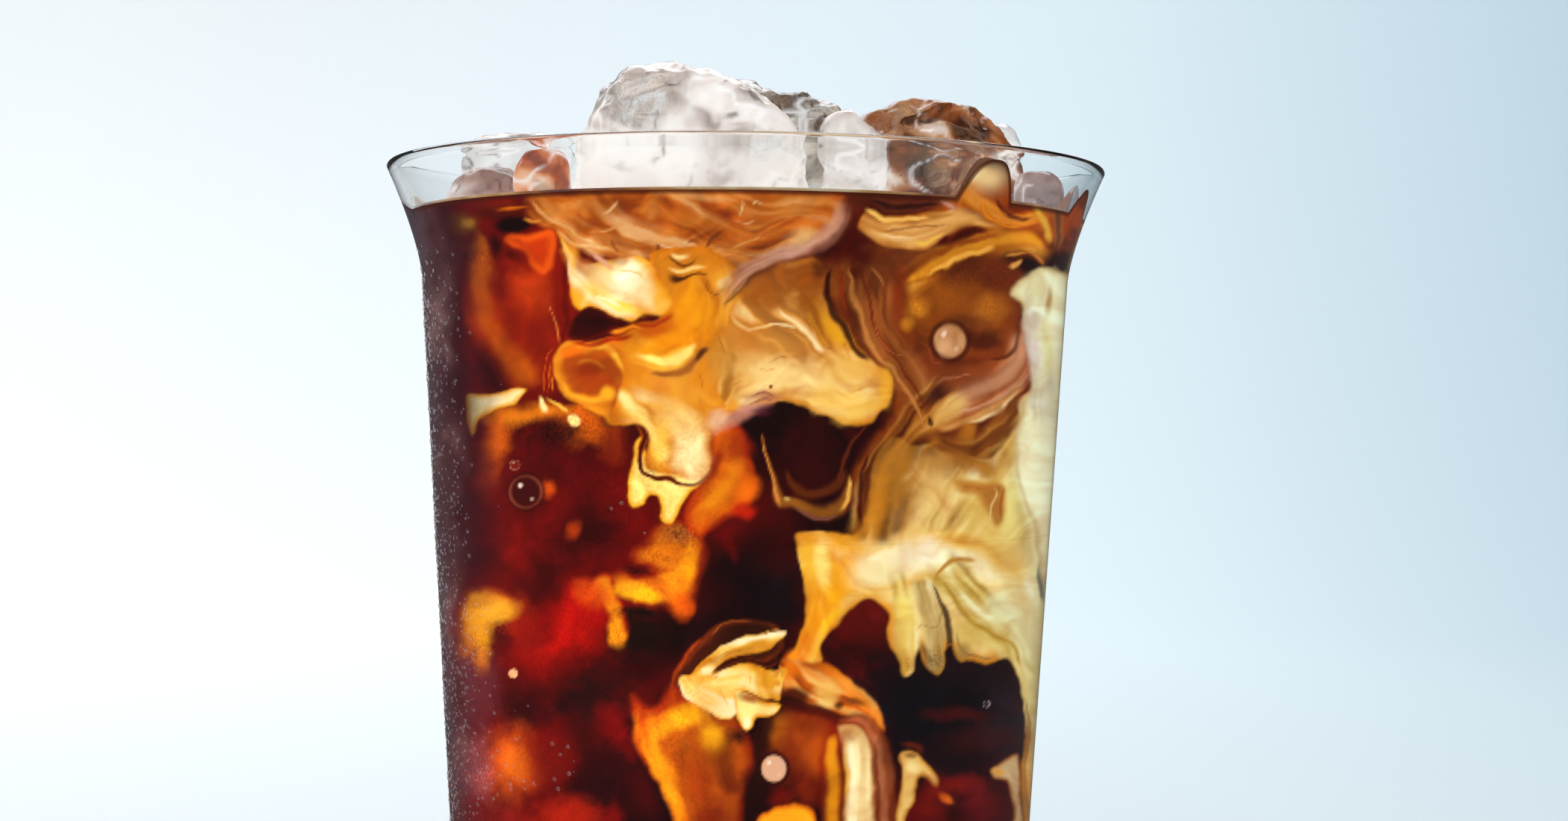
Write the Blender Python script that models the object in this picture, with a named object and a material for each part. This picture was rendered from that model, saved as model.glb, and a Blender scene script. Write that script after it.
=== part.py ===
"""Iced coffee with cream in a thin tumbler with a flared lip, ice standing above the drink.

The origin is the middle of the underside, +Z is up, and -Y faces whoever drinks.
All sizes are metres; MM turns millimetres into metres.
"""

import math
from collections import namedtuple

import bmesh
import bpy
from mathutils import Matrix, Vector, noise

MM = 0.001

# Tumbler: a straight taper that opens into a trumpet lip
GLASS_HEIGHT = 140.0 * MM
BASE_RADIUS = 31.8 * MM
TAPER = 0.0606
FLARE_START = 126.5 * MM
FLARE_REACH = 3.75 * MM
FLARE_POWER = 1.44
WALL = 1.4 * MM
LIP_WALL = 1.0 * MM
FLOOR_THICKNESS = 7.0 * MM
HEEL_ROUND = 2.0 * MM
FLOOR_ROUND = 4.0 * MM
GLASS_SIDES = 64
FLARE_STEPS = 7
ROUND_STEPS = 4

# Drink: its level and how it climbs the wall where ice crowds it
LEVEL = 134.1 * MM
GAP = 0.3 * MM
DRINK_SIDES = 60
EDGE_BAND = 3.2 * MM
RIPPLE = 0.15 * MM

# Ice: a lump is a rounded block, melted unevenly
ICE_DETAIL = 3
POCKET_GAP = 0.35 * MM
MELT_UNEVENNESS = 0.035
MELT_SCALE = 1.7

# Where the drink's edge stands up against the wall: bearing from -Y towards +X in degrees,
# half width in degrees, height, and how square the hump's top is
Climb = namedtuple("Climb", "bearing half_width height squareness")
CLIMBS = (
    Climb(41.2, 6.0, 4.4 * MM, 2.6),
    Climb(72.5, 5.5, 3.1 * MM, 2.0),
    Climb(-84.0, 12.0, 1.5 * MM, 1.6),
)

# Each lump: centre, reach to the left, right, front, back, down and up, in millimetres, then
# the slanted faces that melting or cracking left, as a normal and a distance from the centre
Lump = namedtuple("Lump", "centre reach slants roundness seed")
ICE = {
    "ice_dome": Lump(
        (-6.2, -18.5, 136.5),
        (14.4, 13.8, 14.0, 12.5, 14.5, 14.6),
        (
            ((0.47, 0.0, 0.88), 12.9),
            ((-0.70, 0.0, 0.71), 15.6),
            ((0.70, 0.70, 0.0), 15.0),
            ((-0.80, -0.60, 0.0), 14.5),
            ((0.60, -0.80, 0.0), 16.0),
        ),
        7.0,
        3,
    ),
    "ice_back": Lump(
        (3.0, 22.3, 141.0),
        (8.4, 12.0, 10.8, 10.2, 14.0, 15.6),
        (((0.33, 0.0, 0.94), 12.0), ((0.70, 0.70, 0.0), 13.5)),
        7.0,
        11,
    ),
    "ice_ridge": Lump(
        (22.5, 0.0, 138.0),
        (12.2, 12.3, 9.6, 9.6, 11.5, 14.0),
        (
            ((-0.30, 0.0, 0.95), 11.3),
            ((0.68, 0.0, 0.73), 11.4),
            ((-0.70, -0.70, 0.0), 12.5),
            ((0.70, -0.70, 0.0), 11.2),
            ((0.60, 0.80, 0.0), 11.4),
        ),
        9.0,
        19,
    ),
    "ice_middle": Lump(
        (12.6, -15.4, 138.0),
        (4.1, 4.2, 5.4, 4.8, 8.0, 8.2),
        (((0.60, 0.0, 0.80), 7.2),),
        6.0,
        23,
    ),
    "ice_left_back": Lump(
        (-28.2, 6.5, 135.5),
        (7.7, 6.8, 7.6, 7.6, 9.0, 9.3),
        (((-0.70, 0.70, 0.0), 8.4), ((-0.70, -0.70, 0.0), 9.2)),
        9.0,
        31,
    ),
    "ice_left_low": Lump(
        (-31.2, -9.6, 134.0),
        (5.4, 4.9, 5.4, 5.2, 6.5, 5.5),
        (((-0.72, 0.0, 0.69), 5.2), ((-0.80, -0.60, 0.0), 5.6)),
        5.0,
        37,
    ),
    "ice_left_round": Lump(
        (-22.2, -26.6, 135.6),
        (3.3, 3.2, 3.2, 3.3, 4.2, 4.6),
        (),
        3.2,
        41,
    ),
    "ice_right_low": Lump(
        (34.8, -10.6, 136.0),
        (3.2, 3.0, 3.3, 3.2, 3.6, 3.3),
        (),
        3.0,
        43,
    ),
    "ice_right_back": Lump(
        (31.6, 15.4, 141.0),
        (3.8, 3.9, 4.1, 4.2, 8.6, 7.2),
        (),
        4.0,
        47,
    ),
    "ice_back_left": Lump(
        (-17.2, 25.4, 136.0),
        (7.6, 5.9, 7.0, 7.2, 8.0, 7.4),
        (((-0.55, 0.83, 0.0), 7.0),),
        6.0,
        53,
    ),
}


def material(name, colour, roughness, transmission=0.0, ior=1.45):
    """One plain finish."""
    made = bpy.data.materials.new(name)
    made.use_nodes = True
    shader = made.node_tree.nodes["Principled BSDF"]
    shader.inputs["Base Color"].default_value = (*colour, 1.0)
    shader.inputs["Roughness"].default_value = roughness
    shader.inputs["Metallic"].default_value = 0.0
    shader.inputs["Transmission Weight"].default_value = transmission
    shader.inputs["IOR"].default_value = ior
    made.diffuse_color = (*colour, 1.0)
    return made


def outer_radius(z):
    """The tumbler's outside at a height: the taper, and above FLARE_START the lip opening out."""
    opened = max(0.0, (z - FLARE_START) / (GLASS_HEIGHT - FLARE_START))
    return BASE_RADIUS + TAPER * z + FLARE_REACH * opened**FLARE_POWER


def inner_radius(z):
    """The tumbler's inside: the wall thins from WALL to LIP_WALL up the flare."""
    opened = max(0.0, (z - FLARE_START) / (GLASS_HEIGHT - FLARE_START))
    return outer_radius(z) - WALL + (WALL - LIP_WALL) * opened


def arc(centre, radius, start, end, steps):
    """Points on an arc in the (radius, height) plane, angles in degrees."""
    angles = (math.radians(start + (end - start) * i / steps) for i in range(steps + 1))
    return [(centre[0] + radius * math.cos(a), centre[1] + radius * math.sin(a)) for a in angles]


def flare_heights(low, high):
    """Heights that follow the curve of the lip, low and high included."""
    return [low + (high - low) * i / FLARE_STEPS for i in range(FLARE_STEPS + 1)]


def tumbler_profile():
    """Half the wall's section, from the inside floor over the lip and down to the underside."""
    floor_centre = (inner_radius(FLOOR_THICKNESS) - FLOOR_ROUND, FLOOR_THICKNESS + FLOOR_ROUND)
    lip = LIP_WALL / 2
    lip_height = GLASS_HEIGHT - lip
    lip_centre = (outer_radius(lip_height) - lip, lip_height)
    heel_centre = (outer_radius(HEEL_ROUND) - HEEL_ROUND, HEEL_ROUND)
    points = [(0.0, FLOOR_THICKNESS)]
    points += arc(floor_centre, FLOOR_ROUND, -90, 0, ROUND_STEPS)
    points += [(inner_radius(z), z) for z in flare_heights(FLARE_START, lip_height)[:-1]]
    points += arc(lip_centre, lip, 180, 0, ROUND_STEPS)
    points += [(outer_radius(z), z) for z in flare_heights(FLARE_START, lip_height)[-2::-1]]
    points += arc(heel_centre, HEEL_ROUND, 0, -90, ROUND_STEPS)
    points.append((0.0, 0.0))
    return points


def add_object(name, mesh, finish):
    """Links a mesh to the scene as a named piece with its finish, shaded smooth."""
    mesh.materials.append(finish)
    mesh.shade_smooth()
    mesh.set_sharp_from_angle(angle=math.radians(50))
    made = bpy.data.objects.new(name, mesh)
    bpy.context.scene.collection.objects.link(made)
    return made


def turned_wall(name, profile, finish):
    """Turns a section about +Z with a Screw modifier."""
    mesh = bpy.data.meshes.new(name)
    mesh.from_pydata([(r, 0.0, z) for r, z in profile], [(i, i + 1) for i in range(len(profile) - 1)], [])
    made = add_object(name, mesh, finish)
    screw = made.modifiers.new("turn", "SCREW")
    screw.axis = "Z"
    screw.steps = GLASS_SIDES
    screw.render_steps = GLASS_SIDES
    screw.use_merge_vertices = True
    screw.merge_threshold = 0.00005
    return made


def climb_at(bearing):
    """How far the drink's edge stands above the level at a bearing in degrees."""
    total = 0.0
    for hump in CLIMBS:
        away = abs((bearing - hump.bearing + 180.0) % 360.0 - 180.0) / hump.half_width
        if away < 1.0:
            total += hump.height * (1.0 - away**hump.squareness) ** 1.2
    return total


def drink_bearings():
    """Bearings of the drink's sides: even all round, with more across each hump."""
    even = [360.0 * i / DRINK_SIDES for i in range(DRINK_SIDES)]
    extra = []
    for hump in CLIMBS:
        extra += [hump.bearing + hump.half_width * k / 4 for k in range(-4, 5)]
    spaced = []
    for bearing in sorted([b % 360.0 for b in even + extra]):
        if not spaced or bearing - spaced[-1] > 0.8:
            spaced.append(bearing)
    return spaced


def drink_rings():
    """Rings of the drink from the floor up the wall and in across the top: radius, height and
    the share of the edge's climb that the ring takes."""
    floor = FLOOR_THICKNESS + GAP
    corner = (inner_radius(FLOOR_THICKNESS) - FLOOR_ROUND, FLOOR_THICKNESS + FLOOR_ROUND)
    rings = [(r, z, 0.0) for r, z in arc(corner, FLOOR_ROUND - GAP, -90, 0, ROUND_STEPS)]
    assert rings[0][1] >= floor - MM * 0.01
    for z in (40 * MM, 80 * MM, 110 * MM, FLARE_START, 129 * MM, 131.5 * MM):
        rings.append((inner_radius(z) - GAP, z, 0.0))
    edge = inner_radius(LEVEL) - GAP
    rings.append((edge, LEVEL, 1.0))
    rings.append((edge - 0.35 * EDGE_BAND, LEVEL, 0.62))
    rings.append((edge - EDGE_BAND, LEVEL, 0.0))
    rings.append((edge * 0.55, LEVEL, 0.0))
    return rings


def drink_body(finish):
    """The coffee as one closed solid, its top a level face with low ripples and raised edges."""
    shape = bmesh.new()
    bearings = drink_bearings()
    rows = []
    for radius, height, share in drink_rings():
        row = []
        for bearing in bearings:
            turn = math.radians(bearing)
            lift = share * climb_at(bearing)
            rim = radius if share < 1.0 else inner_radius(height + lift) - GAP
            spot = Vector((rim * math.sin(turn), -rim * math.cos(turn), height + lift))
            if height >= LEVEL and share < 1.0:
                spot.z += RIPPLE * noise.noise(spot / (9 * MM))
            row.append(shape.verts.new(spot))
        rows.append(row)
    for low, high in zip(rows, rows[1:]):
        for i, corner in enumerate(low):
            nearby = (i + 1) % len(low)
            shape.faces.new((corner, low[nearby], high[nearby], high[i]))
    underside = shape.verts.new((0.0, 0.0, rows[0][0].co.z))
    middle = shape.verts.new((0.0, 0.0, LEVEL))
    for i in range(len(bearings)):
        nearby = (i + 1) % len(bearings)
        shape.faces.new((rows[0][nearby], rows[0][i], underside))
        shape.faces.new((rows[-1][i], rows[-1][nearby], middle))
    bmesh.ops.recalc_face_normals(shape, faces=shape.faces)
    mesh = bpy.data.meshes.new("coffee")
    shape.to_mesh(mesh)
    shape.free()
    return add_object("coffee", mesh, finish)


def lump_faces(lump):
    """A lump's flat faces as (normal, distance in metres): its block and its slants."""
    left, right, front, back, down, up = lump.reach
    block = (
        ((-1, 0, 0), left),
        ((1, 0, 0), right),
        ((0, -1, 0), front),
        ((0, 1, 0), back),
        ((0, 0, -1), down),
        ((0, 0, 1), up),
    )
    return [(Vector(n).normalized(), d * MM) for n, d in block + tuple(lump.slants)]


def melted_reach(direction, faces, roundness, seed):
    """How far a lump goes in a direction. A high power of each face's share keeps the faces
    flat and their edges round, and noise makes the melt uneven."""
    shares = (max(0.0, normal.dot(direction)) / distance for normal, distance in faces)
    reach = sum(share**roundness for share in shares) ** (-1.0 / roundness)
    wobble = noise.noise(direction * MELT_SCALE + Vector((seed, 0.0, -seed)))
    return reach * (1.0 + MELT_UNEVENNESS * wobble)


def ice_mesh(name, lump, grown=0.0):
    """A lump of ice as a closed mesh. Grown by a little, it is the pocket that it lies in."""
    shape = bmesh.new()
    bmesh.ops.create_icosphere(shape, subdivisions=ICE_DETAIL, radius=1.0)
    faces = lump_faces(lump)
    for vert in shape.verts:
        direction = vert.co.normalized()
        vert.co = direction * melted_reach(direction, faces, lump.roundness, lump.seed)
    bmesh.ops.recalc_face_normals(shape, faces=shape.faces)
    shape.normal_update()
    outward = [vert.normal.copy() for vert in shape.verts]
    for vert, normal in zip(shape.verts, outward):
        vert.co += normal * grown
    bmesh.ops.transform(shape, matrix=Matrix.Translation(Vector(lump.centre) * MM), verts=shape.verts)
    mesh = bpy.data.meshes.new(name)
    shape.to_mesh(mesh)
    shape.free()
    return mesh


def cut_pocket(drink, name, lump, finish):
    """Cuts the pocket for one lump out of the drink."""
    cutter = add_object(name, ice_mesh(name, lump, POCKET_GAP), finish)
    cutter.hide_render = True
    cutter.display_type = "WIRE"
    cut = drink.modifiers.new(name, "BOOLEAN")
    cut.operation = "DIFFERENCE"
    cut.solver = "EXACT"
    cut.object = cutter


def main():
    for old in list(bpy.data.objects):
        bpy.data.objects.remove(old, do_unlink=True)
    clear_glass = material("clear soda-lime glass", (0.92, 0.95, 0.96), 0.02, 1.0, 1.5)
    cold_coffee = material("cold coffee with cream", (0.42, 0.14, 0.04), 0.12)
    wet_ice = material("wet ice", (0.88, 0.90, 0.92), 0.05, 0.9, 1.31)
    turned_wall("glass", tumbler_profile(), clear_glass)
    drink = drink_body(cold_coffee)
    for name, lump in ICE.items():
        add_object(name, ice_mesh(name, lump), wet_ice)
        cut_pocket(drink, "pocket_" + name, lump, wet_ice)


main()
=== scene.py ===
# %% [markdown]
# # A tall glass of iced coffee with cream
# The real thing is a thin tumbler with a flared lip, full of cold coffee. Cream has been poured in and hangs
# in curling curtains, and lumps of ice stand above the level. The CAD frame gives every size and place. This
# file dresses it: a turned tumbler, a drink whose skin carries the cream's pattern, melted ice and dew.

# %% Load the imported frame
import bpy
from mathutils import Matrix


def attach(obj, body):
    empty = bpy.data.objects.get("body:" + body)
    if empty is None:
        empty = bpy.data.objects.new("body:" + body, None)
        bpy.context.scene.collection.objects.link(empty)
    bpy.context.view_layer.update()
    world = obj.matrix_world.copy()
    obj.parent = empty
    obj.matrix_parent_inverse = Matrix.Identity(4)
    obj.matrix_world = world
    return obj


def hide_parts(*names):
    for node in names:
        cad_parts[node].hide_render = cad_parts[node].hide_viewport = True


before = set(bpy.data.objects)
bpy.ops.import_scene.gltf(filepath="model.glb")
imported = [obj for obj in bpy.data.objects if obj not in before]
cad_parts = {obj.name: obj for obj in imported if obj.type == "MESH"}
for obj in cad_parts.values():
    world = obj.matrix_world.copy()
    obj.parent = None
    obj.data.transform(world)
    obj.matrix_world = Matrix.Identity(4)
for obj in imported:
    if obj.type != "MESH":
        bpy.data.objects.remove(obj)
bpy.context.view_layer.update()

# %% [markdown]
# ## Tools of the lesson
# Blender is driven by bpy. NumPy paints and bends whole meshes at once, which is far quicker than a loop over
# points. Sizes are given in millimetres and turned into metres by MM where a mesh is made.

# %% Imports and units
import math
import bmesh
import bpy
import numpy as np
from mathutils import Vector
from mathutils.bvhtree import BVHTree

MM = 0.001
scene = bpy.context.scene
print("nodes", sorted(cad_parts))

# %% [markdown]
# ## Colours and nodes
# Screen colours are written as hex codes, but a renderer adds light up in linear values, so one function
# turns a code to linear. A material is a tree of nodes, and one helper adds a node with what feeds it.

# %% Colour and node helpers
def hex_linear(code):
    """Linear red, green and blue of an sRGB hex code."""
    value = np.array([int(code[i:i + 2], 16) / 255.0 for i in (1, 3, 5)])
    return np.where(value <= 0.04045, value / 12.92, ((value + 0.055) / 1.055) ** 2.4)


def rgba(code):
    """The colour of a hex code as a socket takes it."""
    return (*(float(part) for part in hex_linear(code)), 1.0)


def add_node(tree, kind, inputs=None, **settings):
    """A node with its settings. A socket in inputs is linked and a plain value is set."""
    made = tree.nodes.new(kind)
    for name, value in settings.items():
        setattr(made, name, value)
    for name, value in (inputs or {}).items():
        if isinstance(value, bpy.types.NodeSocket):
            tree.links.new(value, made.inputs[name])
        else:
            made.inputs[name].default_value = value
    return made


def new_material(name):
    """An empty node material, and the tree it is built in."""
    material = bpy.data.materials.new(name)
    material.use_nodes = True
    material.node_tree.nodes.clear()
    return material, material.node_tree


def colour_stops(tree, factor, stops):
    """Sets out a colour ramp's stops, given as (place, hex code)."""
    made = add_node(tree, "ShaderNodeValToRGB", {"Fac": factor})
    elements = made.color_ramp.elements
    while len(elements) < len(stops):
        elements.new(0.5)
    for element, (place, code) in zip(elements, stops):
        element.position = place
        element.color = rgba(code)
    return made.outputs["Color"]


print("cream", rgba("#f6d894"))

# %% [markdown]
# ## The camera
# The photograph looks straight at the glass from a hand's breadth or two away, a little below the drink's
# level. A plain perspective camera does that. It is rolled by half a degree, because the rim isn't level.

# %% Camera
EYE = np.array((4.9, -300.0, 110.5))  # millimetres
LENS = 55.84
ROLL = math.radians(-0.55)
camera_data = bpy.data.cameras.new("camera")
camera_data.lens = LENS
camera_data.sensor_width = 36.0
camera_data.clip_start = 0.01
camera = bpy.data.objects.new("camera", camera_data)
camera.location = EYE * MM
camera.rotation_euler = (math.pi / 2, ROLL, 0.0)
scene.collection.objects.link(camera)
scene.camera = camera
print("camera at", tuple(camera.location))

# %% [markdown]
# ## The studio
# Clear glass is drawn by what stands round it. A pale sweep without a corner gives a calm background, and it
# darkens high above the table, so that the rim and the ice pick up thin dark lines. Large lamps stand for
# windows. The drink is lit from the front and glows a little of itself, for the light that comes through it.

# %% Stage and lamps
SWEEP_FLAT, SWEEP_BEND, SWEEP_TOP = 950.0, 400.0, 1500.0
STAGE_SIDES = 96


def turned_mesh(name, outline, sides):
    """A mesh of an outline of (radius, height) turned round the Z axis."""
    angles = np.arange(sides) * (2 * math.pi / sides)
    points = []
    for radius, height in outline:
        ring = np.stack([radius * np.sin(angles), -radius * np.cos(angles), np.full(sides, height)], axis=1)
        points.append(ring)
    points = np.concatenate(points) * MM
    faces = []
    for row in range(len(outline) - 1):
        for side in range(sides):
            low, nxt = row * sides, (side + 1) % sides
            faces.append((low + side, low + nxt, low + sides + nxt, low + sides + side))
    mesh = bpy.data.meshes.new(name)
    mesh.from_pydata(points.tolist(), [], faces)
    mesh.validate()
    return mesh


bend = np.linspace(0.0, math.pi / 2, 17)
sweep_outline = [(1.0, 0.0), (SWEEP_FLAT * 0.5, 0.0)]
sweep_outline += [(SWEEP_FLAT + SWEEP_BEND * math.sin(a), SWEEP_BEND * (1 - math.cos(a))) for a in bend]
sweep_outline += [(SWEEP_FLAT + SWEEP_BEND, SWEEP_TOP)]
sweep = bpy.data.objects.new("paper_sweep", turned_mesh("paper_sweep", sweep_outline, STAGE_SIDES))
for polygon in sweep.data.polygons:
    polygon.use_smooth = True
scene.collection.objects.link(sweep)

paper, tree = new_material("matt_paper")
place = add_node(tree, "ShaderNodeTexCoord").outputs["Object"]
apart = add_node(tree, "ShaderNodeSeparateXYZ", {"Vector": place})
across = add_node(tree, "ShaderNodeMapRange", {"Value": apart.outputs["X"], "From Min": -0.45, "From Max": 0.6})
up = add_node(tree, "ShaderNodeMapRange", {"Value": apart.outputs["Z"], "From Min": 0.6, "From Max": 0.95})
# painted shade: the sweep runs from near white at the left to a shaded blue-grey at the right
pale = colour_stops(tree, across.outputs[0], [(0.0, "#eeefef"), (0.3, "#e4e9eb"), (0.6, "#d6e0e3"),
                                              (1.0, "#b6c9d2")])
high = add_node(tree, "ShaderNodeMix", {"Factor": up.outputs[0]}, data_type="RGBA")
tree.links.new(pale, high.inputs["A"])
high.inputs["B"].default_value = rgba("#4a4e54")
# painted light: the paper glows a little of itself, which keeps it bright
skin = add_node(tree, "ShaderNodeBsdfPrincipled", {"Base Color": high.outputs["Result"], "Roughness": 0.9,
                                                   "Specular IOR Level": 0.1, "Emission Strength": 0.3,
                                                   "Emission Color": high.outputs["Result"]})
add_node(tree, "ShaderNodeOutputMaterial", {"Surface": skin.outputs[0]})
sweep.data.materials.append(paper)
sweep.visible_glossy = False  # the room behind the camera is dim, so the wall of the tumbler mirrors little

world = bpy.data.worlds.new("studio")
world.use_nodes = True
world.node_tree.nodes["Background"].inputs["Color"].default_value = rgba("#f4f7f8")
# black cards stand round a set like this, so mirrors in the glass see a dimmer room than the drink does
path = add_node(world.node_tree, "ShaderNodeLightPath")
dimmed = add_node(world.node_tree, "ShaderNodeMath", {0: path.outputs["Is Glossy Ray"], 1: -0.27, 2: 0.34},
                  operation="MULTIPLY_ADD")
world.node_tree.links.new(dimmed.outputs[0], world.node_tree.nodes["Background"].inputs["Strength"])
scene.world = world
scene.view_settings.view_transform = "Standard"

LAMPS = (  # name, place and aim in metres, width, height, watts, colour
    ("window_left", (-0.75, -0.45, 0.75), (0.0, 0.0, 0.1), 0.7, 0.9, 3.2, "#fffaf2"),
    ("window_back", (-0.25, 0.95, 0.85), (0.0, 0.2, 0.1), 1.2, 0.6, 7.0, "#f4f8ff"),
    ("window_right", (0.8, -0.2, 0.5), (0.0, 0.0, 0.1), 0.4, 0.8, 1.5, "#eaf2ff"),
)
for name, place_at, aim, wide, tall, watts, code in LAMPS:
    lamp = bpy.data.lights.new(name, "AREA")
    lamp.shape = "RECTANGLE"
    lamp.size = wide
    lamp.size_y = tall
    lamp.energy = watts
    lamp.color = rgba(code)[:3]
    lamp_object = bpy.data.objects.new(name, lamp)
    lamp_object.location = place_at
    lamp_object.rotation_euler = (Vector(aim) - Vector(place_at)).to_track_quat("-Z", "Y").to_euler()
    scene.collection.objects.link(lamp_object)
print("lamps", len(LAMPS))

# %% [markdown]
# ## The tumbler
# The glass was pressed or blown in a turned mould, so a rule gives its whole shape: a straight taper that
# opens into a trumpet lip, and a wall that thins towards the lip. The rule is written once, as an outline.

# %% The tumbler's rule
HEIGHT = 140.0
BASE_RADIUS = 31.8
TAPER = 0.0606
FLARE_START, FLARE_REACH, FLARE_POWER = 126.5, 3.75, 1.44
WALL, LIP_WALL, FLOOR = 1.4, 1.0, 7.0
HEEL_ROUND, FLOOR_ROUND = 2.0, 4.0
LEVEL = 134.1


def opened(height):
    return np.clip((height - FLARE_START) / (HEIGHT - FLARE_START), 0.0, None)


def outer_radius(height):
    return BASE_RADIUS + TAPER * height + FLARE_REACH * opened(height) ** FLARE_POWER


def inner_radius(height):
    return outer_radius(height) - WALL + (WALL - LIP_WALL) * opened(height)


def tumbler_outline():
    """(radius, height) from the middle of the underside, up the outside, over the lip and down the inside."""
    outline = [(0.0, 0.35), (BASE_RADIUS * 0.55, 0.35), (BASE_RADIUS * 0.78, 0.25),
               (BASE_RADIUS - HEEL_ROUND - 2.2, 0.0)]
    for a in np.linspace(0.0, math.pi / 2, 7):
        height = HEEL_ROUND * (1 - math.cos(a))
        outline.append((outer_radius(HEEL_ROUND) - HEEL_ROUND + HEEL_ROUND * math.sin(a), height))
    outline += [(outer_radius(h), h) for h in np.linspace(8.0, FLARE_START, 16)]
    outline += [(outer_radius(h), h) for h in np.linspace(FLARE_START + 1.0, HEIGHT - 0.5, 13)]
    lip = (outer_radius(HEIGHT - 0.5) + inner_radius(HEIGHT - 0.5)) / 2
    for a in np.linspace(0.35, math.pi - 0.35, 8):
        outline.append((lip + LIP_WALL / 2 * math.cos(a), HEIGHT - 0.5 + 0.5 * math.sin(a)))
    outline += [(inner_radius(h), h) for h in np.linspace(HEIGHT - 0.5, FLARE_START + 1.0, 13)]
    outline += [(inner_radius(h), h) for h in np.linspace(FLARE_START, FLOOR + FLOOR_ROUND + 1.0, 16)]
    corner = inner_radius(FLOOR + FLOOR_ROUND) - FLOOR_ROUND
    for a in np.linspace(0.0, math.pi / 2, 8):
        outline.append((corner + FLOOR_ROUND * math.cos(a), FLOOR + FLOOR_ROUND * (1 - math.sin(a))))
    outline += [(BASE_RADIUS * 0.5, FLOOR), (0.0, FLOOR)]
    return [(float(r), float(h)) for r, h in outline]


outline = tumbler_outline()
print("outline points", len(outline), "lip radius", round(max(r for r, h in outline), 2))

# %% [markdown]
# ## Turning it on a lathe of nodes
# Geometry Nodes can turn any outline: a grid has one column for each outline point and one row for each step
# of the turn. Each grid point looks up its outline point and is carried to it, turned by its row's angle.
# The last row falls on the first, and Merge by Distance closes the seam. A Spin would do the same, but
# here the number of sides stays an input that anyone can turn up.

# %% The lathe tree
def node_modifier(target, tree, values):
    """Adds the tree to an object and sets its named inputs by their identifiers."""
    modifier = target.modifiers.new("nodes", "NODES")
    modifier.node_group = tree
    for item in tree.interface.items_tree:
        if item.item_type == "SOCKET" and item.in_out == "INPUT" and item.name in values:
            modifier[item.identifier] = values[item.name]
    return modifier


def baked_copy(target, name):
    """A plain mesh object of what the target's modifiers make. The target is deleted."""
    graph = bpy.context.evaluated_depsgraph_get()
    mesh = bpy.data.meshes.new_from_object(target.evaluated_get(graph))
    mesh.name = name
    made = bpy.data.objects.new(name, mesh)
    scene.collection.objects.link(made)
    bpy.data.objects.remove(target)
    return made


def lathe_tree(stations):
    tree = bpy.data.node_groups.new("lathe", "GeometryNodeTree")
    tree.interface.new_socket("Outline", in_out="INPUT", socket_type="NodeSocketGeometry")
    sides = tree.interface.new_socket("Sides", in_out="INPUT", socket_type="NodeSocketInt")
    sides.default_value = 64
    tree.interface.new_socket("Material", in_out="INPUT", socket_type="NodeSocketMaterial")
    tree.interface.new_socket("Turned", in_out="OUTPUT", socket_type="NodeSocketGeometry")
    given = add_node(tree, "NodeGroupInput")
    rows = add_node(tree, "ShaderNodeMath", {0: given.outputs["Sides"], 1: 1.0}, operation="ADD")
    grid = add_node(tree, "GeometryNodeMeshGrid", {"Vertices X": stations, "Vertices Y": rows.outputs[0]})
    index = add_node(tree, "GeometryNodeInputIndex").outputs[0]
    station = add_node(tree, "ShaderNodeMath", {0: index, 1: rows.outputs[0]}, operation="DIVIDE")
    station = add_node(tree, "ShaderNodeMath", {0: station.outputs[0]}, operation="FLOOR")
    row = add_node(tree, "ShaderNodeMath", {0: index, 1: rows.outputs[0]}, operation="MODULO")
    turn = add_node(tree, "ShaderNodeMath", {0: row.outputs[0], 1: 2 * math.pi}, operation="MULTIPLY")
    turn = add_node(tree, "ShaderNodeMath", {0: turn.outputs[0], 1: given.outputs["Sides"]}, operation="DIVIDE")
    spot = add_node(tree, "GeometryNodeInputPosition").outputs[0]
    found = add_node(tree, "GeometryNodeSampleIndex", {"Geometry": given.outputs["Outline"], "Value": spot,
                                                       "Index": station.outputs[0]}, data_type="FLOAT_VECTOR")
    turned = add_node(tree, "ShaderNodeVectorRotate", {"Vector": found.outputs["Value"],
                                                       "Angle": turn.outputs[0]}, rotation_type="Z_AXIS")
    moved = add_node(tree, "GeometryNodeSetPosition", {"Geometry": grid.outputs["Mesh"],
                                                       "Position": turned.outputs[0]})
    closed = add_node(tree, "GeometryNodeMergeByDistance", {"Geometry": moved.outputs[0], "Distance": 0.00001})
    smooth = add_node(tree, "GeometryNodeSetShadeSmooth", {"Geometry": closed.outputs[0]})
    real = add_node(tree, "GeometryNodeRealizeInstances", {"Geometry": smooth.outputs[0]})
    dressed = add_node(tree, "GeometryNodeSetMaterial", {"Geometry": real.outputs[0],
                                                         "Material": given.outputs["Material"]})
    add_node(tree, "NodeGroupOutput", {"Turned": dressed.outputs[0]})
    return tree


def face_outwards(target):
    """Merges doubles and makes a closed mesh's faces point out."""
    work = bmesh.new()
    work.from_mesh(target.data)
    bmesh.ops.remove_doubles(work, verts=work.verts, dist=0.000005)
    bmesh.ops.recalc_face_normals(work, faces=work.faces)
    if work.calc_volume(signed=True) < 0:
        bmesh.ops.reverse_faces(work, faces=work.faces)
    work.to_mesh(target.data)
    volume = work.calc_volume()
    work.free()
    return volume


print("lathe ready")

# %% [markdown]
# ## Clear glass
# Soda-lime glass, pressed and fire-polished: colourless, with an index of 1.5 and a surface too smooth to
# blur anything. Light that only passes through on its way to the drink would be lost, because a path tracer
# finds no lamp through a bending surface. So for shadow and diffuse rays the wall counts as open.

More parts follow.
